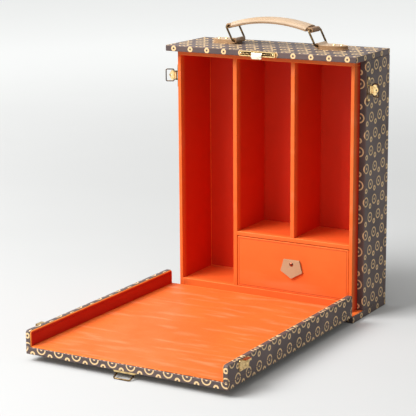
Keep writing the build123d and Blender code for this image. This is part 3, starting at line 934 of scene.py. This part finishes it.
def mark_rims(mesh: bmesh.types.BMesh, facing: Vector) -> None:
    """Give the second material to the faces of a cut edge.

    Args:
        mesh: The bmesh of a flat piece.
        facing: The direction to which its broad sides look.
    """
    for face in mesh.faces:
        face.material_index = 0 if abs(face.normal.dot(facing)) > 0.5 else 1


def sweep(
    mesh: bmesh.types.BMesh, edges: list[bmesh.types.BMEdge], centre: Vector, axis: Vector, angle: float, steps: int
) -> list[bmesh.types.BMEdge]:
    """Sweep edges round an axis.

    Args:
        mesh: The bmesh that holds them.
        edges: The edges to begin with.
        centre: A point on the axis.
        axis: The axis's direction.
        angle: How far, in radians.
        steps: In how many steps.

    Returns:
        The edges at the end of the sweep.
    """
    swept = bmesh.ops.spin(
        mesh, geom=edges, cent=centre, axis=axis, dvec=(0, 0, 0), angle=angle, steps=steps,
        use_merge=False, use_duplicate=False)
    return edges_of(swept["geom_last"])


class Strip:
    """A flat strip drawn out from one cross edge by extruding it and turning it."""

    def __init__(self, start: Vector, across: Vector, width: float, cuts: int) -> None:
        """Lay the first cross edge.

        Args:
            start: Its middle.
            across: Its direction.
            width: Its length.
            cuts: Into how many parts it is divided.
        """
        self.mesh = bmesh.new()
        self.across = across
        line = [self.mesh.verts.new(start + across * width * (step / cuts - 0.5)) for step in range(cuts + 1)]
        self.front = [self.mesh.edges.new(pair) for pair in zip(line, line[1:])]

    def run(self, offset: Vector, steps: int) -> None:
        """Draw the strip straight on.

        Args:
            offset: How far, and in which direction.
            steps: In how many steps.
        """
        for _ in range(steps):
            grown = bmesh.ops.extrude_edge_only(self.mesh, edges=self.front)["geom"]
            fresh = vertices_of(grown)
            bmesh.ops.translate(self.mesh, verts=fresh, vec=offset / steps)
            self.front = [edge for edge in edges_of(grown) if all(vert in fresh for vert in edge.verts)]

    def turn(self, centre: Vector, degrees: float, steps: int) -> None:
        """Draw the strip round an axis that lies along its cross edge.

        Args:
            centre: A point on the axis.
            degrees: How far.
            steps: In how many steps.
        """
        self.front = sweep(self.mesh, self.front, centre, self.across, math.radians(degrees), steps)


@dataclass(frozen=True)
class Stitching:
    """A row of short stitches, one small bead each."""

    length: float = 0.0027
    pitch: float = 0.0041
    width: float = 0.00075
    flatness: float = 0.6
    proud: float = 0.00012
    glance: float = 0.0002

    def row(self, mesh: bmesh.types.BMesh, path: Path, span: float) -> None:
        """Lay stitches along a path.

        Args:
            mesh: The bmesh that takes them.
            path: Gives the place and the surface direction at a distance.
            span: The path's length.
        """
        count = max(1, int(span / self.pitch))
        for index in range(count):
            middle = (index + 0.5) * span / count
            place, normal = path(middle)
            ahead = (path(middle + self.glance)[0] - path(middle - self.glance)[0]).normalized()
            side = normal.cross(ahead)
            bead = bmesh.ops.create_icosphere(mesh, subdivisions=2, radius=0.5)["verts"]
            axes = Matrix((ahead * self.length, side * self.width, normal * self.width * self.flatness))
            matrix = Matrix.Translation(place + normal * self.proud) @ axes.transposed().to_4x4()
            bmesh.ops.transform(mesh, matrix=matrix, verts=bead)


@dataclass
class Shell:
    """The canvas boards of the case's outer box."""

    slabs: tuple[str, ...] = ("base_slab", "top_slab")
    walls: tuple[str, ...] = ("back_wall", "side_wall_left", "side_wall_right")
    wall_shift: float = 0.004

    def build(self) -> None:
        """Dress each board in printed canvas, with a row of small rings along the slabs' edges."""
        canvas = PrintedCanvas()
        for name in self.slabs:
            centre, _ = node_box(name)
            shift = (0.0, canvas.row / 3.0 - centre.z, 0.0)
            Palette.paint(canvas.material(name, shift, plain_edges=True), name)
        for name in self.walls:
            Palette.paint(canvas.material(name, (self.wall_shift, 0.0, 0.0)), name)


@dataclass
class Carcass:
    """The orange boards inside the case."""

    boards: tuple[str, ...] = (
        "carcass_wall_left", "carcass_wall_right", "carcass_top", "floor_board", "divider_left", "divider_right",
        "glass_shelf", "ledge_lining", "back_lining")
    # Painted shade: deeper red behind each board's front edge, all over the back lining, and at part strength on
    # the floor board and the shelf.
    usual: OrangeLeather = OrangeLeather(shaded_share=1.0)
    special: dict[str, OrangeLeather] = field(default_factory=lambda: {
        "ledge_lining": OrangeLeather(),
        "floor_board": OrangeLeather(shaded_share=0.3),
        "glass_shelf": OrangeLeather(shaded_share=0.45),
        "back_lining": OrangeLeather(shaded_share=1.0, shade_start=-0.002, shade_end=-0.001)})

    def build(self) -> None:
        """Dress each lined board, with painted shade: deeper red further in than its front edge."""
        for name in self.boards:
            Palette.paint(self.special.get(name, self.usual).material(name), name)


@dataclass
class Sheet:
    """A leather sheet glued to a board, softly rounded at its edges and a little crowned."""

    node: str
    name: str
    body: Body
    face: Vector
    finish: OrangeLeather = OrangeLeather()
    corner: float = 0.0
    crown: float = 0.00025
    rounding_share: float = 0.9
    border: float = 0.004

    def build(self) -> None:
        """Model the sheet in place of its plain solid."""
        centre, half = node_box(self.node)
        mesh = bmesh.new()
        size = [2 * value for value in half]
        bmesh.ops.create_cube(mesh, size=1.0, matrix=Matrix.Translation(centre) @ Matrix.Diagonal((*size, 1.0)))
        if self.corner:
            through = [
                edge for edge in mesh.edges
                if abs((edge.verts[0].co - edge.verts[1].co).normalized().dot(self.face)) > ALIGNED
                and edge.verts[0].co.z > centre.z]
            bmesh.ops.bevel(
                mesh, geom=through, offset=self.corner, segments=6, profile=0.5, affect="EDGES", material=-1)
        outer = [edge for edge in mesh.edges if all((v.co - centre).dot(self.face) > 0 for v in edge.verts)]
        rounding = min(half) * self.rounding_share
        bmesh.ops.bevel(mesh, geom=outer, offset=rounding, segments=3, profile=0.5, affect="EDGES", material=-1)
        top = [face for face in mesh.faces if face.normal.dot(self.face) > ALIGNED]
        bmesh.ops.inset_region(mesh, faces=top, thickness=self.border)
        raised = {vert for face in top for vert in face.verts}
        bmesh.ops.translate(mesh, verts=list(raised), vec=self.face * self.crown)
        Piece(self.name, self.body, Slot.LINING, [self.finish.material(self.node)], (self.node,)).finish(mesh)


@dataclass
class Door:
    """The drop-down door: canvas boards, leather sheets and the canvas hinge."""

    boards: tuple[str, ...] = ("door_board", "door_lip_left", "door_lip_right")
    print_shift: Triple = (0.002, -0.0185, 0.0)
    lip_corner: float = 0.004
    bend_before: float = 0.001
    bend_after: float = 0.003
    canvas_share: float = 0.9
    canvas_rim: float = 0.0002
    # The door lining's finish, with more and longer paler streaks.
    paler: OrangeLeather = OrangeLeather(streak_share=0.5, stretch=(17.0, 85.0, 85.0))
    # Painted shade deepens the lips' faces inward from every edge, and a painted highlight brightens their edges.
    lips: OrangeLeather = OrangeLeather(
        shaded=(0.5, 0.007, 0.003), shaded_share=1.0, shade_start=0.0009, shade_end=0.0026, front_only=False,
        edge=(1.0, 0.34, 0.06), highlight_reach=0.0016)

    def build(self) -> None:
        """Dress the boards and model the soft parts."""
        canvas = PrintedCanvas()
        for name in self.boards:
            Palette.paint(canvas.material(name, self.print_shift), name)
        Sheet("door_lining", "door_lining_sheet", Body.DOOR, UP, self.paler).build()
        for word, face in (("left", ACROSS), ("right", -ACROSS)):
            name = f"lip_lining_sheet_{word}"
            Sheet(f"lip_lining_{word}", name, Body.DOOR, face, self.lips, corner=self.lip_corner).build()
        Sheet("door_end_lining", "door_end_lining_sheet", Body.DOOR, DEEP, crown=0.0).build()
        self.hinge(canvas)

    def hinge(self, canvas: PrintedCanvas) -> None:
        """Model the canvas strip that bends from the slab's front on to the door's underside.

        Args:
            canvas: The door's canvas.
        """
        slab, slab_half = node_box("hinge_strip_case")
        door, door_half = node_box("hinge_strip_door")
        thickness = 2 * slab_half.y
        corner = Vector((slab.x, slab.y, door.z))
        start = Vector((slab.x, slab.y, slab.z - slab_half.z))
        bend = thickness / 2
        strip = Strip(start, ACROSS, 2 * slab_half.x, 24)
        strip.run(UP * (corner.z - bend - start.z), 6)
        strip.turn(corner + Vector((0.0, -bend, -bend)), 90.0, 4)
        strip.run(-DEEP * (corner.y - bend - (door.y - door_half.y)), 18)
        low, fold = corner.z - bend, corner.y - bend

        def unrolled(place: Vector) -> float:
            """Give a place's depth with the strip laid flat in the door's plane.

            Args:
                place: A place on the bent strip.

            Returns:
                Its depth, in metres.
            """
            if place.z <= low:
                return fold + bend * math.pi / 2 + low - place.z
            if place.y >= fold:
                return fold + bend * (math.pi / 2 - math.atan2(place.z - low, place.y - fold))
            return place.y

        flat = strip.mesh.loops.layers.uv.new("flat")
        for face in strip.mesh.faces:
            for loop in face.loops:
                loop[flat].uv = (loop.vert.co.x, unrolled(loop.vert.co))
        finish = canvas.material("hinge_strip_door", self.print_shift, own_map=True)
        piece = Piece("canvas_hinge", Body.DOOR, Slot.CANVAS, [finish, finish])
        made = piece.finish(strip.mesh, thicken(thickness * self.canvas_share, self.canvas_rim))
        # It joins two bodies, so it hangs on neither.
        made.parent = None
        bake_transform(made)
        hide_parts("hinge_strip_case", "hinge_strip_door")


@dataclass
class Drawer:
    """The drawer, its leather tab and the tab's rivet."""

    palette: Palette
    scored_line: float = 0.0026
    top_share: float = 0.725
    shoulder_share: float = 0.636
    corner: float = 0.0009
    rim: float = 0.00045
    curl: float = 0.0007
    levels: int = 8

    def build(self) -> None:
        """Dress the drawer and model the tab."""
        Palette.paint(OrangeLeather(scored_line=self.scored_line).material("drawer_front"), "drawer_front")
        for name in ("drawer_side_left", "drawer_side_right", "drawer_bottom", "drawer_back"):
            Palette.paint(OrangeLeather().material(name), name)
        Palette.paint(self.palette.copper, "pull_tab_rivet")
        self.tab()

    def tab(self) -> None:
        """Model the five-sided tab, point down, its lower half curling a little off the drawer."""
        centre, half = node_box("pull_tab")
        bottom, top = centre.z - half.z, centre.z + half.z
        shoulder = bottom + 2 * half.z * (1 - self.shoulder_share)
        corners = [
            (centre.x - half.x * self.top_share, top),
            (centre.x + half.x * self.top_share, top),
            (centre.x + half.x, shoulder),
            (centre.x, bottom),
            (centre.x - half.x, shoulder)]
        mesh = bmesh.new()
        back = centre.y + half.y
        outline = mesh.faces.new([mesh.verts.new((x, back, z)) for x, z in corners])
        bmesh.ops.bevel(
            mesh, geom=list(outline.verts), offset=self.corner, segments=4, profile=0.5, affect="VERTICES",
            material=-1)
        raise_outline(mesh, -DEEP * 2 * half.y)
        for level in range(1, self.levels):
            cut = Vector((centre.x, centre.y, top - 2 * half.z * level / self.levels))
            everything = [*mesh.verts, *mesh.edges, *mesh.faces]
            bmesh.ops.bisect_plane(mesh, geom=everything, plane_co=cut, plane_no=UP)
        mark_rims(mesh, DEEP)
        for vert in mesh.verts:
            low = max(0.0, (centre.z - vert.co.z) / half.z)
            vert.co.y -= self.curl * low * low
        materials = [self.palette.tab_leather, self.palette.burnished]
        piece = Piece("leather_pull_tab", Body.DRAWER, Slot.LEATHER, materials, ("pull_tab",))
        piece.finish(mesh, soften(self.rim))


@dataclass(frozen=True)
class CoverLayer:
    """One layer of the grip's cover, swept along the arch of the handle."""

    name: str
    width_share: float
    high: float
    low: float
    across_power: float
    rise_power: float
    crowned: bool = False

    def section(self, across: float, rise: float) -> Span:
        """Turn a point of a plain circle into a point of the layer's section.

        Args:
            across: The point's place across, from -1 to 1.
            rise: Its height, from -1 to 1.

        Returns:
            Its share of the half width, and its height over the arch.
        """
        if self.crowned:
            height = self.low + (self.high - self.low) * max(rise, 0.0) ** self.rise_power
        else:
            middle, tall = (self.high + self.low) / 2, (self.high - self.low) / 2
            height = middle + tall * math.copysign(abs(rise) ** self.rise_power, rise)
        return math.copysign(abs(across) ** self.across_power, across), height


@dataclass
class Handle:
    """The top handle: leather mounts, wire rings and the arched, covered grip."""

    palette: Palette
    leather: float = 0.0022
    leather_share: float = 0.96
    rim: float = 0.00035
    bar_gap: float = 0.00006
    bar_radius: float = 0.0014
    strap_width: float = 0.027
    strap_reach: float = 0.0404
    straight_share: float = 0.25
    tip_share: float = 0.993
    tip_power: float = 2.2
    pad_rim: float = 0.0004
    pad_end_powers: tuple[int, float] = (5, 0.12)
    seam_inset: float = 0.0023
    seam_start: float = 0.0125
    neck_angle: float = 40.0
    neck_bend: float = 0.003
    loop_angle: float = 25.0
    loop_inside: float = 0.011
    grip_rise: float = 0.01
    core_width: float = 0.024
    cover_gap: float = 0.006
    cover_rim: float = 0.0007
    cover_layers: tuple[CoverLayer, ...] = (
        CoverLayer("grip_cover_top", 1.0, 0.0042, -0.0016, 0.8, 0.75, crowned=True),
        CoverLayer("grip_cover_base", 0.985, -0.0016, -0.004, 0.5, 0.35))
    cover_seam_rise: float = 0.0021
    cover_seam_inset: float = 0.0019
    cover_seam_share: float = 0.97
    cover_seam_lean: float = 0.9

    def build(self) -> None:
        """Dress the metal and model the leather."""
        Palette.paint(self.palette.aged, "handle_ring_left", "handle_ring_right")
        Palette.paint(self.palette.golden, "handle_studs")
        for side, word in ((-1, "left"), (1, "right")):
            self.pad(side, word)
            self.strap(side, word)
            self.grip_loop(side, word)
        self.cover()
        self.cover_stitches()

    @property
    def wrap_radius(self) -> float:
        """Give the radius of a strap's middle line round a bar."""
        return self.bar_radius + self.bar_gap + self.leather / 2

    def outline(self, reach: float, x: float) -> float:
        """Give the share of a mount's full width at a distance out from the ring.

        Args:
            reach: The mount's length.
            x: The distance.

        Returns:
            The share, from 1 where the mount is straight down to almost 0 at its tip.
        """
        straight = reach * self.straight_share
        if x <= straight:
            return 1.0
        share = min((x - straight) / (reach - straight), self.tip_share)
        return math.sqrt(1 - share**self.tip_power)

    def neck(self, level: float, degrees: float) -> tuple[float, Vector]:
        """Work out the slope by which a strap goes from flat on to its wrap round a bar.

        Args:
            level: The height of the strap's flat part over the bar's axis.
            degrees: The slope's angle.

        Returns:
            How far from the bar's axis the flat part ends, and the slope's run and climb.
        """
        wrap, alpha = self.wrap_radius, math.radians(degrees)
        climb = wrap * math.cos(alpha) - level - self.neck_bend * (1 - math.cos(alpha))
        slope = climb / math.sin(alpha)
        foot = (wrap + self.neck_bend) * math.sin(alpha) + slope * math.cos(alpha)
        return foot, Vector((slope * math.cos(alpha), 0.0, slope * math.sin(alpha)))

    def pad(self, side: int, word: str) -> None:
        """Model the flat under-layer of a mount, cut to a rounded tongue.

        Args:
            side: -1 for the left, 1 for the right.
            word: The side's name.
        """
        node = f"handle_pad_{word}"
        centre, half = node_box(node)
        mesh = bmesh.new()
        bmesh.ops.create_circle(mesh, cap_ends=True, segments=72, radius=1.0)
        inner, reach = centre.x - side * half.x, 2 * half.x
        straight = reach * self.straight_share
        along_power, across_power = self.pad_end_powers
        for vert in mesh.verts:
            out, wide, _ = vert.co
            if out > 0:
                out = straight + (reach - straight) * out
            else:
                out = straight * (1 - abs(out) ** along_power)
                wide = math.copysign(abs(wide) ** across_power, wide)
            vert.co = Vector((inner + side * out, centre.y + half.y * wide, centre.z - half.z))
        raise_outline(mesh, UP * 2 * half.z)
        mark_rims(mesh, UP)
        materials = [self.palette.leather, self.palette.burnished]
        piece = Piece(f"mount_pad_{word}", Body.CASE, Slot.LEATHER, materials, (node,))
        piece.finish(mesh, soften(self.pad_rim))

    def strap(self, side: int, word: str) -> None:
        """Model the strap that lies doubled on the pad and loops round the ring's lower bar.

        Args:
            side: -1 for the left, 1 for the right.
            word: The side's name.
        """
        pivot = pivot_of(f"handle_{word}_swing")
        upper = -self.wrap_radius + self.leather
        foot, slope = self.neck(upper, self.neck_angle)
        strip = Strip(Vector((self.strap_reach, 0.0, upper)), DEEP, self.strap_width, 10)
        strip.run(Vector((foot - self.strap_reach, 0.0, 0.0)), 22)
        strip.turn(Vector((foot, 0.0, upper + self.neck_bend)), self.neck_angle, 4)
        strip.run(Vector((-slope.x, 0.0, slope.z)), 2)
        strip.turn(Vector((0.0, 0.0, 0.0)), -(180.0 + self.neck_angle), 18)
        strip.run(Vector((self.strap_reach, 0.0, 0.0)), 26)
        for vert in strip.mesh.verts:
            vert.co.y *= self.outline(self.strap_reach, vert.co.x)
        place = Matrix.Translation(pivot) @ Matrix.Diagonal((side, 1.0, 1.0, 1.0))
        bmesh.ops.transform(strip.mesh, matrix=place, verts=strip.mesh.verts)
        materials = [self.palette.leather, self.palette.burnished]
        replaced = (f"handle_strap_{word}",)
        piece = Piece(f"mount_strap_{word}", Body.CASE, Slot.LEATHER, materials, replaced)
        piece.finish(strip.mesh, thicken(self.leather * self.leather_share, self.rim))
        self.mount_stitches(side, word, pivot + UP * (upper + self.leather / 2))

    def mount_stitches(self, side: int, word: str, place: Vector) -> None:
        """Sew round the tongue of a mount, just inside its edge.

        Args:
            side: -1 for the left, 1 for the right.
            word: The side's name.
            place: The point of the strap's upper side that lies over the bar's axis.
        """
        half = self.strap_width / 2 - self.seam_inset
        straight = self.strap_reach * self.straight_share
        arc = self.strap_reach - self.seam_inset - straight
        steps = 120
        angles = [math.pi / 2 - math.pi * step / steps for step in range(steps + 1)]
        points = [
            Vector((side * self.seam_start, half, 0.0)),
            *(Vector((side * (straight + arc * math.cos(a)), half * math.sin(a), 0.0)) for a in angles),
            Vector((side * self.seam_start, -half, 0.0))]
        lengths = [0.0]
        for first, second in zip(points, points[1:]):
            lengths.append(lengths[-1] + (second - first).length)

        def path(distance: float) -> tuple[Vector, Vector]:
            """Follow the seam.

            Args:
                distance: How far along it.

            Returns:
                The place there, and the surface's direction.
            """
            index = min(max(bisect_left(lengths, distance), 1), len(points) - 1)
            share = (distance - lengths[index - 1]) / (lengths[index] - lengths[index - 1])
            return place + points[index - 1].lerp(points[index], share), UP

        mesh = bmesh.new()
        Stitching().row(mesh, path, lengths[-1])
        Piece(f"mount_stitches_{word}", Body.CASE, Slot.LEATHER, [self.palette.thread]).finish(mesh)

    @property
    def arch(self) -> tuple[Vector, float, float]:
        """Measure the arch of the grip.

        Returns:
            Its centre, its radius, and the angle from its top to a ring.
        """
        left = pivot_of("grip_swing")
        half_span = pivot_of("handle_right_swing").x
        radius = (half_span**2 + self.grip_rise**2) / (2 * self.grip_rise)
        centre = Vector((left.x + half_span, left.y, left.z + self.grip_rise - radius))
        return centre, radius, math.asin(half_span / radius)

    def grip_loop(self, side: int, word: str) -> None:
        """Model the strap end that comes out of the cover and loops round a ring's upper bar.

        Args:
            side: -1 for the left, 1 for the right.
            word: The side's name.
        """
        centre, radius, angle = self.arch
        layer, inside = self.leather / 2, self.loop_inside
        foot, slope = self.neck(layer, self.loop_angle)
        strip = Strip(Vector((-inside, 0.0, layer)), DEEP, self.core_width, 8)
        strip.run(Vector((inside - foot, 0.0, 0.0)), 4)
        strip.turn(Vector((-foot, 0.0, layer + self.neck_bend)), -self.loop_angle, 4)
        strip.run(slope, 2)
        strip.turn(Vector((0.0, 0.0, 0.0)), 180.0 + 2 * self.loop_angle, 20)
        strip.run(Vector((-slope.x, 0.0, slope.z)), 2)
        strip.turn(Vector((-foot, 0.0, -layer - self.neck_bend)), -self.loop_angle, 4)
        strip.run(Vector((foot - inside, 0.0, 0.0)), 4)
        bar = centre + Vector((side * radius * math.sin(angle), 0.0, radius * math.cos(angle)))
        mirrored = Matrix.Translation(bar) @ Matrix.Diagonal((side, 1.0, 1.0, 1.0))
        matrix = mirrored @ Matrix.Rotation(angle, 4, "Y")
        bmesh.ops.transform(strip.mesh, matrix=matrix, verts=strip.mesh.verts)
        materials = [self.palette.brown_leather, self.palette.burnished]
        piece = Piece(f"grip_loop_{word}", Body.GRIP, Slot.LEATHER, materials, ("grip_strap",))
        piece.finish(strip.mesh, thicken(self.leather * self.leather_share, self.rim))

    @property
    def cover_span(self) -> float:
        """Give the angle from the top of the arch to an end of the cover."""
        _, radius, angle = self.arch
        return angle - self.cover_gap / radius

    def cover(self) -> None:
        """Model the grip's crowned cover and its flat under-layer."""
        centre, radius, _ = self.arch
        width = node_box("grip_cover")[1].y
        for layer in self.cover_layers:
            mesh = bmesh.new()
            bmesh.ops.create_circle(mesh, cap_ends=False, segments=36, radius=1.0)
            for vert in mesh.verts:
                fuller, height = layer.section(vert.co.x, vert.co.y)
                vert.co = centre + Vector((0.0, width * layer.width_share * fuller, radius + height))
            to_end = Matrix.Rotation(-self.cover_span, 3, "Y")
            bmesh.ops.rotate(mesh, cent=centre, matrix=to_end, verts=mesh.verts)
            sweep(mesh, list(mesh.edges), centre, DEEP, 2 * self.cover_span, steps=56)
            bmesh.ops.holes_fill(mesh, edges=[edge for edge in mesh.edges if edge.is_boundary], sides=0)
            material = self.palette.leather if layer.crowned else self.palette.burnished
            replaced = ("grip_cover",) if layer.crowned else ()
            piece = Piece(layer.name, Body.GRIP, Slot.LEATHER, [material], replaced)
            piece.finish(mesh, soften(self.cover_rim, 50.0))

    def cover_stitches(self) -> None:
        """Sew the cover to its under-layer along both long edges."""
        mesh = bmesh.new()
        _, radius, _ = self.arch
        for side in (-1, 1):
            span = 2 * self.cover_span * self.cover_seam_share * radius
            Stitching().row(mesh, partial(self.cover_seam, side), span)
        Piece("grip_stitches", Body.GRIP, Slot.LEATHER, [self.palette.thread]).finish(mesh)

    def cover_seam(self, side: int, distance: float) -> tuple[Vector, Vector]:
        """Follow the seam along one long edge of the cover.

        Args:
            side: -1 for the front edge, 1 for the back edge.
            distance: How far along the seam.

        Returns:
            The place there, and the surface's direction.
        """
        centre, radius, _ = self.arch
        off = node_box("grip_cover")[1].y - self.cover_seam_inset
        turn = distance / radius - self.cover_span * self.cover_seam_share
        out = Vector((math.sin(turn), 0.0, math.cos(turn)))
        normal = (out + DEEP * side * self.cover_seam_lean).normalized()
        return centre + out * (radius + self.cover_seam_rise) + DEEP * side * off, normal


@dataclass
class Hardware:
    """The side latches and the front clasp."""

    palette: Palette

    def build(self) -> None:
        """Dress the metal pieces."""
        palette = self.palette
        Palette.paint(palette.aged, "latch_base_left", "latch_base_right", "door_clasp_bail")
        Palette.paint(palette.keeper, "lip_keeper_left", "lip_keeper_right")
        # Latch loops: darker bronze, partly painted shade.
        Palette.paint(palette.bronze_and_shade, "latch_loop_left", "latch_loop_right")
        Palette.paint(
            palette.golden, "latch_lever_left", "latch_lever_right", "latch_pins", "latch_rivets", "keeper_rivets",
            "door_clasp_plate", "door_clasp_screws", "clasp_screws")
        Palette.paint(palette.recessed, "clasp_frame")
        Palette.paint(palette.ribbed, "clasp_pin")
        Palette.paint(palette.bright, "clasp_hook")


@dataclass(frozen=True)
class Lamp:
    """A square, soft lamp."""

    name: str
    place: Triple
    size: float
    power: float

    def hang(self, aim: Vector) -> None:
        """Hang the lamp.

        Args:
            aim: The point to which it is turned.
        """
        data = bpy.data.lights.new(self.name, "AREA")
        data.shape = "SQUARE"
        data.size = self.size
        data.energy = self.power
        lamp = put_in_scene(self.name, data)
        lamp.location = self.place
        lamp.rotation_mode = "QUATERNION"
        lamp.rotation_quaternion = (aim - Vector(self.place)).to_track_quat("-Z", "Y")


@dataclass
class Studio:
    """The pale floor, the soft lamps and the photograph's camera."""

    floor_size: float = 60.0
    floor_colour: Colour = (0.55, 0.553, 0.548)
    floor_dust: float = 0.985
    dust_scale: float = 3.0
    dust_fade: Span = (0.3, 0.7)
    floor_glow_colour: Colour = (0.985, 1.0, 0.99)
    floor_glow: Span = (0.03, 0.63)
    floor_glow_reach: Span = (0.3, 3.2)
    world_colour: Colour = (0.86, 0.865, 0.86)
    world_strength: float = 0.3
    backdrop_strength: float = 0.92
    lamp_aim: Triple = (0.0, -0.1, 0.18)
    lamp_rows: tuple[Lamp, ...] = (
        Lamp("key_lamp", (-1.4, -1.75, 2.25), 1.8, 130.0),
        Lamp("top_lamp", (-0.3, -0.3, 3.0), 2.0, 36.0),
        Lamp("front_lamp", (0.9, -3.0, 1.3), 1.6, 6.0))
    image_pixels: float = 416.0
    focal_pixels: float = 1599.0
    sensor: float = 36.0
    farthest: float = 200.0
    camera_place: Triple = (1.03813, -1.97668, 0.64282)
    yaw: float = 0.5272
    pitch: float = -0.223
    roll: float = -0.0069

    def build(self) -> None:
        """Set up the stage."""
        self.floor()
        self.world()
        for lamp in self.lamp_rows:
            lamp.hang(Vector(self.lamp_aim))
        self.camera()
        bpy.context.scene.view_settings.view_transform = "Standard"

    def floor(self) -> None:
        """Lay the pale floor, which brightens to the backdrop's white far from the case."""
        mesh = bmesh.new()
        bmesh.ops.create_grid(mesh, x_segments=1, y_segments=1, size=self.floor_size / 2)
        data = bpy.data.meshes.new("floor")
        mesh.to_mesh(data)
        mesh.free()
        floor = put_in_scene("floor", data)
        made = Shader("floor", {"Roughness": 0.9, "Specular IOR Level": 0.1})
        wiring = made.wiring
        place = wiring.object_place()
        dust = wiring.fade(wiring.noise(place, self.dust_scale, 2.0), *self.dust_fade)
        dusty = tuple(self.floor_dust * part for part in self.floor_colour)
        made.feed("Base Color", wiring.blend(dust, self.floor_colour, dusty))
        made.shader.inputs["Emission Color"].default_value = (*self.floor_glow_colour, 1.0)
        glow = wiring.fade(wiring.length(place), *self.floor_glow_reach, *self.floor_glow)
        made.feed("Emission Strength", wiring.math("MULTIPLY", wiring.seen(), glow))
        data.materials.append(made.material)

    def world(self) -> None:
        """Light the room evenly and show a pale backdrop."""
        world = bpy.data.worlds.new("studio")
        world.use_nodes = True
        bpy.context.scene.world = world
        wiring = Wiring(world.node_tree)
        background = world.node_tree.nodes["Background"]
        background.inputs["Color"].default_value = (*self.world_colour, 1.0)
        strength = wiring.fade(wiring.seen(), 0.0, 1.0, self.world_strength, self.backdrop_strength)
        world.node_tree.links.new(strength, background.inputs["Strength"])

    def camera(self) -> None:
        """Set the camera where the photograph was taken."""
        data = bpy.data.cameras.new("camera")
        data.sensor_width = self.sensor
        data.lens = self.sensor * self.focal_pixels / self.image_pixels
        data.clip_end = self.farthest
        camera = put_in_scene("camera", data)
        ahead = Vector((
            -math.sin(self.yaw) * math.cos(self.pitch),
            math.cos(self.yaw) * math.cos(self.pitch),
            math.sin(self.pitch)))
        right = Vector((math.cos(self.yaw), math.sin(self.yaw), 0.0))
        above = right.cross(ahead)
        level = right * math.cos(self.roll) + above * math.sin(self.roll)
        upright = above * math.cos(self.roll) - right * math.sin(self.roll)
        turn = Matrix((level, upright, -ahead)).transposed().to_4x4()
        camera.matrix_world = Matrix.Translation(Vector(self.camera_place)) @ turn
        bpy.context.scene.camera = camera


def main() -> None:
    """Build the scene in order."""
    logging.basicConfig(level=logging.INFO, format="%(message)s")
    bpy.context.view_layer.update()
    palette = Palette()
    Studio().build()
    Shell().build()
    Carcass().build()
    Door().build()
    Drawer(palette).build()
    Handle(palette).build()
    Hardware(palette).build()


if __name__ == "__main__":
    main()
